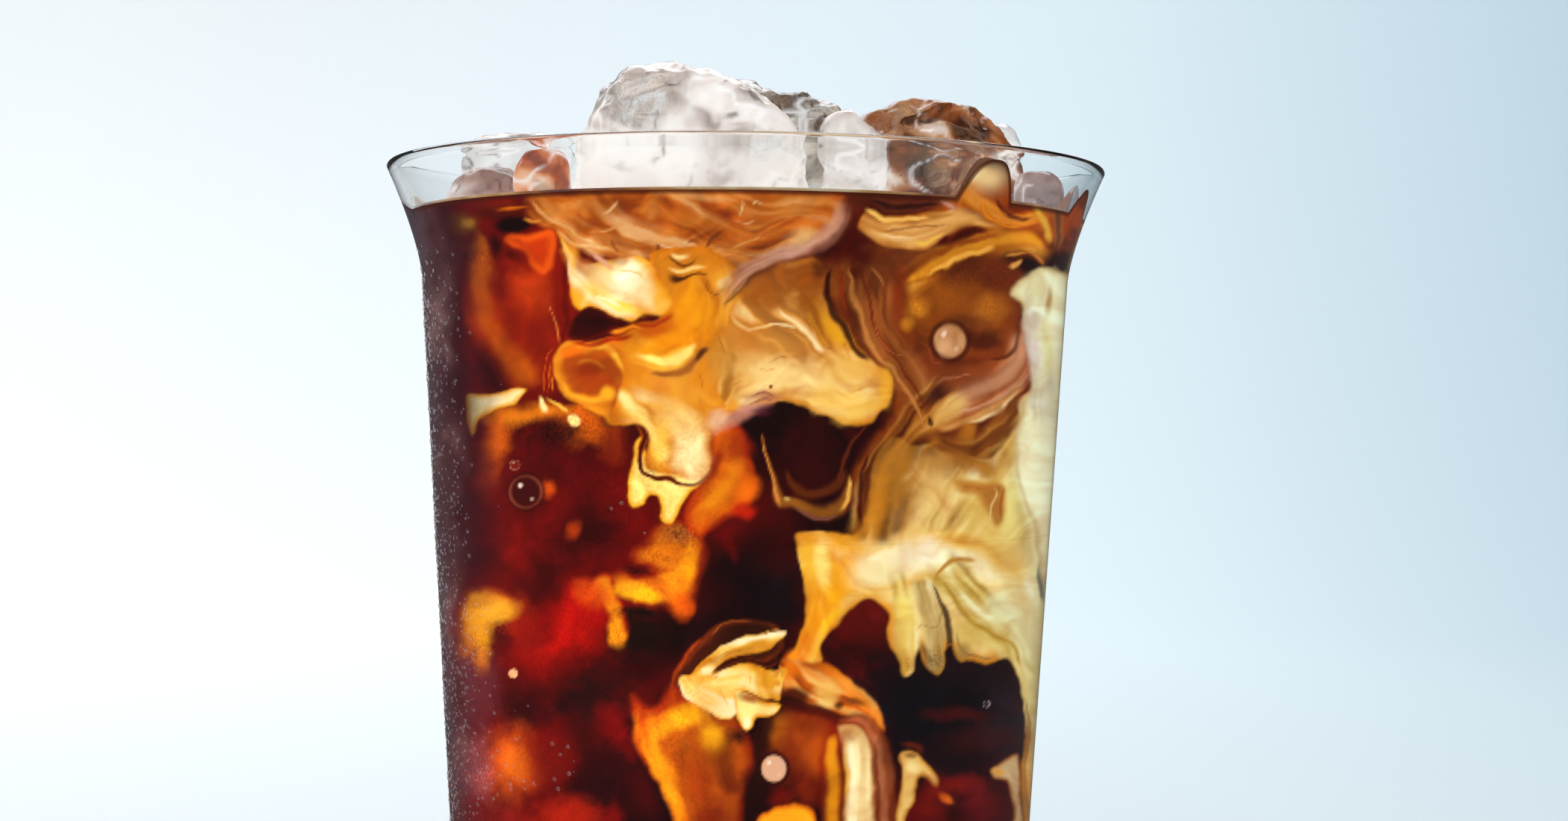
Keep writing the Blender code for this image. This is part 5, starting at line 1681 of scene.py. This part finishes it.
# %% Drink material
def drink_material(name, gloss, roughness, glow):
    material, tree = new_material(name)
    paint = add_node(tree, "ShaderNodeAttribute", attribute_name="paint").outputs["Color"]
    grain = add_node(tree, "ShaderNodeAttribute", attribute_name="grain").outputs["Fac"]
    place = add_node(tree, "ShaderNodeTexCoord").outputs["Object"]
    dew = add_node(tree, "ShaderNodeTexNoise", {"Vector": place, "Scale": 1 / (0.35 * MM), "Detail": 2.0})
    spread = add_node(tree, "ShaderNodeMapRange", {"Value": dew.outputs["Fac"], "From Min": 0.32,
                                                   "From Max": 0.68, "To Min": -0.5, "To Max": 0.9})
    much = add_node(tree, "ShaderNodeMath", {0: spread.outputs[0], 1: grain}, operation="MULTIPLY")
    scale = add_node(tree, "ShaderNodeMath", {0: much.outputs[0], 1: 1.0}, operation="ADD")
    toned = add_node(tree, "ShaderNodeVectorMath", {0: paint, "Scale": scale.outputs[0]}, operation="SCALE")
    skin = add_node(tree, "ShaderNodeBsdfPrincipled", {
        "Base Color": toned.outputs[0], "Roughness": roughness, "Specular IOR Level": gloss, "IOR": 1.34,
        "Emission Color": toned.outputs[0], "Emission Strength": glow})
    add_node(tree, "ShaderNodeOutputMaterial", {"Surface": skin.outputs[0]})
    return material


GLOW = 0.6
behind_glass = drink_material("coffee_behind_glass", 0.08, 0.5, GLOW)
open_coffee = drink_material("coffee_open_surface", 0.5, 0.06, 0.2)

# %% [markdown]
# ## Cutting the drink
# Each block's columns are even as the eye in front sees them, so a column near the side covers more of the
# wall. The blocks share their edge points, and each point's colour comes from its place alone, so the
# pattern runs on from block to block.

# %% Blocks
SIDE = math.radians(84.0)
CUT = 96.0
front_bearings = np.interp(np.linspace(-1, 1, 381), np.sin(np.linspace(-SIDE, SIDE, 999)) / math.sin(SIDE),
                           np.linspace(-SIDE, SIDE, 999))
back_bearings = np.linspace(SIDE, 2 * math.pi - SIDE, 260)


def wrapped(bearing):
    return (bearing + math.pi) % (2 * math.pi) - math.pi


def rim_of_drink(bearing):
    return LEVEL + climb(wrapped(bearing))


def flat_cut(bearing):
    return np.full_like(bearing, CUT)


BOTTOM = FLOOR - SKIN_REACH
low_heights = np.concatenate([np.linspace(BOTTOM, 12.0, 14)[:-1], np.linspace(12.0, 56.0, 60)[:-1],
                              np.linspace(56.0, CUT, 178)])
low_shares = (low_heights - BOTTOM) / (CUT - BOTTOM)
back_heights = np.concatenate([np.linspace(BOTTOM, 12.0, 10)[:-1], np.linspace(12.0, LEVEL, 210)])
back_shares = (back_heights - BOTTOM) / (LEVEL - BOTTOM)
blocks = [
    drink_block("coffee_front_upper", front_bearings, np.linspace(0, 1, 196), CUT, rim_of_drink, behind_glass),
    drink_block("coffee_front_lower", front_bearings, low_shares, BOTTOM, flat_cut, behind_glass),
    drink_block("coffee_back", back_bearings, back_shares, BOTTOM, rim_of_drink, behind_glass),
]
for block in blocks:
    block.data.calc_loop_triangles()
    count = len(block.data.loop_triangles)
    print(block.name, count, "triangles,", round(face_outwards(block) * 1e6, 1), "ml")
    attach(block, "root")
    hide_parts("coffee")

# %% [markdown]
# ## Ice
# Each lump is a cube that has melted: it has lost its corners, its faces are dished, and warm drink has run
# grooves into it. The CAD lump gives its place and its bulk. A fine even mesh is made over it, its points
# are moved in and out by noise at three sizes, and the result is never outside the CAD lump by more than a
# few tenths of a millimetre.

# %% Ice shapes
ICE_NODES = sorted(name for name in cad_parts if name.startswith("ice_"))
ICE_FINENESS = {"ice_dome": 0.38, "ice_back": 0.45, "ice_ridge": 0.36}
CRAGGY = {"ice_ridge": 1.5, "ice_back": 1.1, "ice_middle": 0.8, "ice_dome": 0.55}  # millimetres


ICE_LOOKS = {  # colours of the ice, dark to light, how milky it is, and painted light that whitens it below the rim
    "ice_dome": ([(0.1, "#84766e"), (0.3, "#c8bcb4"), (0.5, "#ece4de"), (1.0, "#fffaf4")], 0.85, 0.9),
    "ice_back": ([(0.1, "#2c1c14"), (0.35, "#746252"), (0.6, "#b4a494"), (1.0, "#ece6de")], 0.7, 0.2),
    "ice_ridge": ([(0.1, "#200802"), (0.3, "#5a280e"), (0.5, "#8a4e28"), (0.66, "#b47c54"), (0.8, "#e8d4c0"),
                   (1.0, "#fbf6f0")], 0.9, 0.1),
    "ice_left_round": ([(0.1, "#5c1804"), (0.4, "#a84410"), (0.6, "#d47c40"), (1.0, "#f8d8b8")], 0.85, 0.0),
    "ice_left_low": ([(0.1, "#4c2c28"), (0.4, "#8c6458"), (0.65, "#c4a498"), (1.0, "#f4e8e4")], 0.6, 0.0),
    "ice_right_low": ([(0.1, "#5c3c38"), (0.4, "#a08078"), (0.65, "#d0b8b0"), (1.0, "#f8f0ee")], 0.6, 0.1),
    "other": ([(0.1, "#7c6c62"), (0.4, "#d4ccc6"), (1.0, "#fffcf8")], 0.55, 0.7),
}


def ice_paint(name, points, crag, crest):
    """Colour and milkiness of the points of a lump: soft clouds, dark threads, bright threads on the crests
    that are painted highlights, and painted light that makes it lighter and milkier below the rim.
    """
    stops, milky, white = ICE_LOOKS.get(name, ICE_LOOKS["other"])
    x, y, z = points.T
    seed = 700 + 10 * ICE_NODES.index(name)
    u, v = x + 0.4 * y, z * 1.2 - 0.3 * y
    u, v = u + 2.6 * cloud(u, v, 7.0, seed), v + 2.6 * cloud(u, v, 6.0, seed + 3)
    value = 0.5 + 0.85 * cloud(u, v, 5.0, seed + 6, 4)
    # painted light: below the rim the lump is painted lighter and milkier
    low = smooth_step(HEIGHT + 0.5, HEIGHT - 2.5, z)
    value = value + 0.35 * white * low
    colour = ramp(value, stops)
    thread = cloud(u, v, 3.4, seed + 8, 2)
    dark = np.exp(-(thread / 0.06) ** 2) * smooth_step(-0.35, 0.25, cloud(x, z, 5.0, seed + 9, 1))
    # painted highlights: white threads along the crests
    bright = np.exp(-(crest / 0.07) ** 2) * smooth_step(-0.2, 0.3, cloud(z, x, 4.0, seed + 1, 1))
    colour = colour + (0.75 * dark * (1 - 0.6 * white * low))[:, None] * (hex_linear("#3a241c") - colour)
    colour = colour + (0.6 * bright)[:, None] * (hex_linear("#ffffff") - colour)
    milk = milky * smooth_step(-0.5, 0.25, cloud(v, u, 8.0, seed + 2, 3)) + 0.5 * white * low
    return colour, np.clip(milk + 0.6 * dark + 0.6 * bright, 0.0, 1.0)


def melted(name, fineness):
    """A finely meshed, melted copy of a CAD lump."""
    rough = bpy.data.objects.new(name + "_rough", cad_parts[name].data.copy())
    scene.collection.objects.link(rough)
    rough.data.materials.clear()
    face_outwards(rough)
    rough.modifiers.new("round", "SUBSURF").levels = 1
    rough.modifiers["round"].render_levels = 1
    even = rough.modifiers.new("even", "REMESH")
    even.mode = "VOXEL"
    even.voxel_size = fineness * MM
    relax = rough.modifiers.new("relax", "SMOOTH")
    relax.iterations = 6
    made = baked_copy(rough, name.replace("ice_", "melted_ice_"))
    count = len(made.data.vertices)
    points = np.empty(count * 3)
    made.data.vertices.foreach_get("co", points)
    points = points.reshape(-1, 3) / MM
    normals = np.empty(count * 3)
    made.data.vertices.foreach_get("normal", normals)
    normals = normals.reshape(-1, 3)
    seed = 400 + 10 * ICE_NODES.index(name)
    a = cloud(points[:, 0] + 0.6 * points[:, 2], points[:, 1] - 0.5 * points[:, 2], 9.0, seed, 2)
    b = cloud(points[:, 0] - 0.7 * points[:, 1], points[:, 2] + 0.4 * points[:, 1], 4.2, seed + 3, 2)
    c = cloud(points[:, 1] + 0.5 * points[:, 0], points[:, 2] - 0.6 * points[:, 0], 1.9, seed + 6, 2)
    size = float((points.max(0) - points.min(0)).min())
    depth = min(0.055 * size, 1.0)
    crag = cloud(points[:, 0] * 0.9 + points[:, 1] * 0.5, points[:, 2] * 1.3 - points[:, 0] * 0.3, 5.5,
                 seed + 5, 3)
    craggy = CRAGGY.get(name, 0.4)
    move = depth * (0.9 * a + 0.55 * (0.3 - np.abs(b)) + 0.22 * c) - 0.25 * depth - craggy * np.abs(crag) * 1.6
    points = points + np.clip(move, -2.4, 0.25)[:, None] * normals
    colours, milk = ice_paint(name, points, crag, b)
    carry(made.data, colours, "milk", milk)
    made.data.vertices.foreach_set("co", (points * MM).ravel())
    made.data.polygons.foreach_set("use_smooth", [True] * len(made.data.polygons))
    return made


lumps = {name: melted(name, ICE_FINENESS.get(name, 0.34)) for name in ICE_NODES}
for name, lump in lumps.items():
    volume = face_outwards(lump)
    print(name, len(lump.data.polygons), "faces", round(volume * 1e6, 2), "ml")

# %% [markdown]
# ## Ice, clear and clouded
# Ice is clear where it froze slowly and milky where it froze last, full of tiny bubbles. Both are water ice
# with an index of 1.31 and a melting, wet surface. The milky part is a white that lets light spread, mixed in
# by a pattern of soft clouds and fine threads a millimetre or two across. Where cream or coffee has run over
# a lump, the ice takes up its brown.

# %% Ice materials
ICE_GLOW = 0.85  # light that has spread inside the lump comes out of its milky parts


def ice_material(name, tint):
    material, tree = new_material(name)
    place = add_node(tree, "ShaderNodeTexCoord").outputs["Object"]
    paint = add_node(tree, "ShaderNodeAttribute", attribute_name="paint")
    milk = add_node(tree, "ShaderNodeAttribute", attribute_name="milk")
    fine = add_node(tree, "ShaderNodeTexNoise", {"Vector": place, "Scale": 1 / (1.1 * MM), "Detail": 3.0,
                                                 "Distortion": 2.0})
    bump = add_node(tree, "ShaderNodeBump", {"Height": fine.outputs["Fac"], "Strength": 0.2,
                                             "Distance": 0.3 * MM})
    wet = add_node(tree, "ShaderNodeBsdfPrincipled", {"Base Color": rgba(tint), "Roughness": 0.015, "IOR": 1.31,
                                                      "Transmission Weight": 1.0, "Normal": bump.outputs[0]})
    white = add_node(tree, "ShaderNodeBsdfPrincipled", {"Base Color": paint.outputs["Color"], "Roughness": 0.1,
                                                        "Emission Color": paint.outputs["Color"],
                                                        "Emission Strength": ICE_GLOW,
                                                        "IOR": 1.31, "Normal": bump.outputs[0]})
    back_lit = add_node(tree, "ShaderNodeBsdfTranslucent", {"Color": paint.outputs["Color"]})
    cloudy = add_node(tree, "ShaderNodeMixShader", {0: 0.4, 1: white.outputs[0], 2: back_lit.outputs[0]})
    mixed = add_node(tree, "ShaderNodeMixShader", {0: milk.outputs["Fac"], 1: wet.outputs[0],
                                                   2: cloudy.outputs[0]})
    add_node(tree, "ShaderNodeOutputMaterial", {"Surface": let_light_through(tree, mixed.outputs[0])})
    return material


clear_ice = ice_material("clear_wet_ice", "#f6f8f8")
ICE_FINISH = {
    "ice_dome": (ice_material("milky_melting_ice", "#f2f0ec"), "cloudy_ice"),
    "ice_back": (ice_material("grey_brown_ice", "#d8d0c4"), "ice"),
    "ice_ridge": (ice_material("coffee_stained_ice", "#c89068"), "cloudy_ice"),
    "ice_left_round": (ice_material("amber_ice", "#e0a060"), "ice"),
    "ice_left_low": (ice_material("mauve_brown_ice", "#d8b8ac"), "ice"),
}
ICE_FINISH["ice_right_low"] = ICE_FINISH["ice_left_low"]
for name, lump in lumps.items():
    material, slot = ICE_FINISH.get(name, (clear_ice, "ice"))
    lump.data.materials.append(material)
    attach(lump, "root")
    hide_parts(name)
print("ice materials", len(ICE_FINISH) + 1)

# %% [markdown]
# ## The open surface
# From above, the drink shows marbled cream between the lumps. It climbs the wall here and there, and each
# lump sits in a pocket, because ice is seen down to where it dips into the drink. The sheet is a grid round
# the axis. Its rings are close at the wall, where it curves up, and every point under a lump is pushed down.

# %% Surface of the drink
def inside_depth(trees, x, y):
    """How far inside the nearest lump a point of the level lies, in millimetres. Outside it is negative."""
    best = -99.0
    spot = Vector((x, y, LEVEL)) * MM
    for ball in trees:
        near, normal, _, away = ball.find_nearest(spot)
        if near is None:
            continue
        side = (spot - near).dot(normal)
        best = max(best, -math.copysign(away / MM, side))
    return best


ice_trees = []
for lump in lumps.values():
    work = bmesh.new()
    work.from_mesh(lump.data)
    ice_trees.append(BVHTree.FromBMesh(work))
    work.free()

SURFACE_SIDES = 420
shares = np.concatenate([np.linspace(0.0, 0.86, 84), 1 - np.linspace(0.14, 0.0, 30)[1:]])
bearings = np.linspace(-math.pi, math.pi, SURFACE_SIDES, endpoint=False)
rim_radius = skin_radius(LEVEL) - 0.15 + 0.12 * climb(bearings)
share, bearing = np.meshgrid(shares[1:], bearings, indexing="ij")
radius = share * rim_radius[None, :]
x, y = radius * np.sin(bearing), -radius * np.cos(bearing)
gap = rim_radius[None, :] - radius
lift = climb(bearings)[None, :] * smooth_step(3.2, 0.0, gap) + 0.35 * np.exp(-gap / 0.6)
ripple = 0.12 * cloud(x.ravel(), y.ravel(), 11.0, 301).reshape(x.shape)
depth = np.array([inside_depth(ice_trees, px, py) for px, py in zip(x.ravel(), y.ravel())]).reshape(x.shape)
pocket = np.clip(depth + 0.5, 0.0, None) * 1.3
pocket = np.minimum(pocket, np.clip(gap - 0.8, 0, None) * 2.5)
pocket = np.clip(pocket, 0.0, SURFACE_DROP - 4.0)
z = LEVEL + lift + ripple * smooth_step(0.0, 3.0, gap) - pocket
top = np.stack([x, y, z], axis=-1).reshape(-1, 3)
rows, columns = z.shape
points = np.concatenate([[[0.0, 0.0, float(z[0].mean())]], top])
faces = [(0, 1 + i, 1 + (i + 1) % columns) for i in range(columns)]
for row in range(rows - 1):
    for i in range(columns):
        j = (i + 1) % columns
        low, high = 1 + row * columns, 1 + (row + 1) * columns
        faces.append((low + i, high + i, high + j, low + j))
last = 1 + (rows - 1) * columns
for skirt_radius, height in ((skin_radius(LEVEL) - 1.5, LEVEL - 1.8),
                             (skin_radius(LEVEL - SURFACE_DROP + 1.0) - 0.6, LEVEL - SURFACE_DROP + 1.0)):
    first = len(points)
    skirt = np.stack([skirt_radius * np.sin(bearings), -skirt_radius * np.cos(bearings),
                      np.full(columns, height)], axis=-1)
    points = np.concatenate([points, skirt])
    for i in range(columns):
        j = (i + 1) % columns
        faces.append((last + i, first + i, first + j, last + j))
    last = first
faces.append(tuple(reversed(range(first, first + columns))))
east, north = points[:, 0], points[:, 1]
u = east + 9 * cloud(east, north, 20.0, 311) + 4 * cloud(east, north, 7.0, 321)
v = north + 9 * cloud(east, north, 18.0, 331) + 4 * cloud(east, north, 6.0, 341)
value = 0.5 + 0.75 * cloud(u, v, 13.0, 351, 4) + 0.12 * cloud(u * 0.4, v * 2.0, 3.0, 361)
colours = ramp(value, [(0.1, "#3a0e04"), (0.3, "#7c3410"), (0.48, "#b8702c"), (0.62, "#d8a05c"),
                       (0.8, "#ecc894"), (1.0, "#f6e0bc")])
no_grain = np.zeros(len(points))
surface = painted_object("coffee_surface", points, faces, rows * columns, colours, no_grain, open_coffee)
print("surface", len(faces), "faces, volume", round(face_outwards(surface) * 1e6, 1), "ml")
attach(surface, "root")
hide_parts("coffee")

# %% [markdown]
# ## Dew on the wall
# A cold glass draws water out of the air. The drops are too many to place by hand, so a tree of nodes strews
# them over a patch of the wall. The patch says by its "share" how thick they stand: they are close at the left
# side, which stands in cooler air, and sparse towards the middle. Each drop is a ball pressed flat.

# %% Dew
DEW_PER_SQUARE_METRE = 1.7e6
DROP_SMALL, DROP_LARGE, DROP_FLATNESS = 0.09, 0.3, 0.45


def dew_tree():
    tree = bpy.data.node_groups.new("dew", "GeometryNodeTree")
    for name, kind in (("Wall", "Geometry"), ("Density", "Float"), ("Seed", "Int"), ("Smallest", "Float"),
                       ("Largest", "Float"), ("Material", "Material")):
        tree.interface.new_socket(name, in_out="INPUT", socket_type="NodeSocket" + kind)
    tree.interface.new_socket("Drops", in_out="OUTPUT", socket_type="NodeSocketGeometry")
    given = add_node(tree, "NodeGroupInput")
    share = add_node(tree, "GeometryNodeInputNamedAttribute", {"Name": "share"}, data_type="FLOAT")
    density = add_node(tree, "ShaderNodeMath", {0: given.outputs["Density"], 1: share.outputs["Attribute"]},
                       operation="MULTIPLY")
    strewn = add_node(tree, "GeometryNodeDistributePointsOnFaces",
                      {"Mesh": given.outputs["Wall"], "Density": density.outputs[0],
                       "Seed": given.outputs["Seed"]})
    ball = add_node(tree, "GeometryNodeMeshUVSphere", {"Segments": 8, "Rings": 5, "Radius": 1.0})
    round_ball = add_node(tree, "GeometryNodeSetShadeSmooth", {"Geometry": ball.outputs["Mesh"]})
    wide = add_node(tree, "FunctionNodeRandomValue", {"Seed": given.outputs["Seed"]}, data_type="FLOAT")
    tree.links.new(given.outputs["Smallest"], wide.inputs[2])
    tree.links.new(given.outputs["Largest"], wide.inputs[3])
    flat = add_node(tree, "ShaderNodeMath", {0: wide.outputs[1], 1: DROP_FLATNESS}, operation="MULTIPLY")
    size = add_node(tree, "ShaderNodeCombineXYZ", {"X": wide.outputs[1], "Y": wide.outputs[1],
                                                   "Z": flat.outputs[0]})
    placed = add_node(tree, "GeometryNodeInstanceOnPoints",
                      {"Points": strewn.outputs["Points"], "Instance": round_ball.outputs[0],
                       "Rotation": strewn.outputs["Rotation"], "Scale": size.outputs[0]})
    real = add_node(tree, "GeometryNodeRealizeInstances", {"Geometry": placed.outputs[0]})
    coated = add_node(tree, "GeometryNodeSetMaterial", {"Geometry": real.outputs[0],
                                                        "Material": given.outputs["Material"]})
    end = add_node(tree, "NodeGroupOutput")
    tree.links.new(coated.outputs[0], end.inputs["Drops"])
    return tree


# Dew is plain water: clear, with an index of 1.33. It catches a spark of the window and a dark rim.
water, tree = new_material("dew_water")
drop_skin = add_node(tree, "ShaderNodeBsdfPrincipled", {"Base Color": rgba("#fbfbfb"), "Roughness": 0.0,
                                                        "IOR": 1.33, "Transmission Weight": 1.0})
add_node(tree, "ShaderNodeOutputMaterial", {"Surface": let_light_through(tree, drop_skin.outputs[0])})

across, height = np.meshgrid(np.radians(np.linspace(-89.0, -8.0, 82)), np.linspace(16.0, 131.0, 116))
radius = outer_radius(height)
degrees = np.degrees(across)
share = smooth_step(-50.0, -68.0, degrees) * (0.55 + 0.45 * cloud(degrees, height, 9.0, 801))
patches = smooth_step(0.0, 0.5, cloud(degrees, height, 14.0, 811))
share = share + 0.22 * smooth_step(-8.0, -45.0, degrees) * patches
share = np.clip(share, 0.0, 1.0) * smooth_step(131.0, 124.0, height) * smooth_step(16.0, 26.0, height)
patch = np.stack([radius * np.sin(across), -radius * np.cos(across), height], axis=-1).reshape(-1, 3) * MM
patch_mesh = bpy.data.meshes.new("dew_patch")
patch_mesh.from_pydata(patch.tolist(), [], grid_faces(*across.shape))
patch_mesh.attributes.new("share", "FLOAT", "POINT").data.foreach_set("value", share.ravel().astype(np.float32))
patch = bpy.data.objects.new("dew_patch", patch_mesh)
scene.collection.objects.link(patch)
node_modifier(patch, dew_tree(), {"Density": DEW_PER_SQUARE_METRE, "Seed": 7, "Smallest": DROP_SMALL * MM,
                                  "Largest": DROP_LARGE * MM, "Material": water})
dew = baked_copy(patch, "dew")
print("dew", len(dew.data.polygons) // 40, "drops", len(dew.data.polygons), "faces")
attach(dew, "root")
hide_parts("glass")
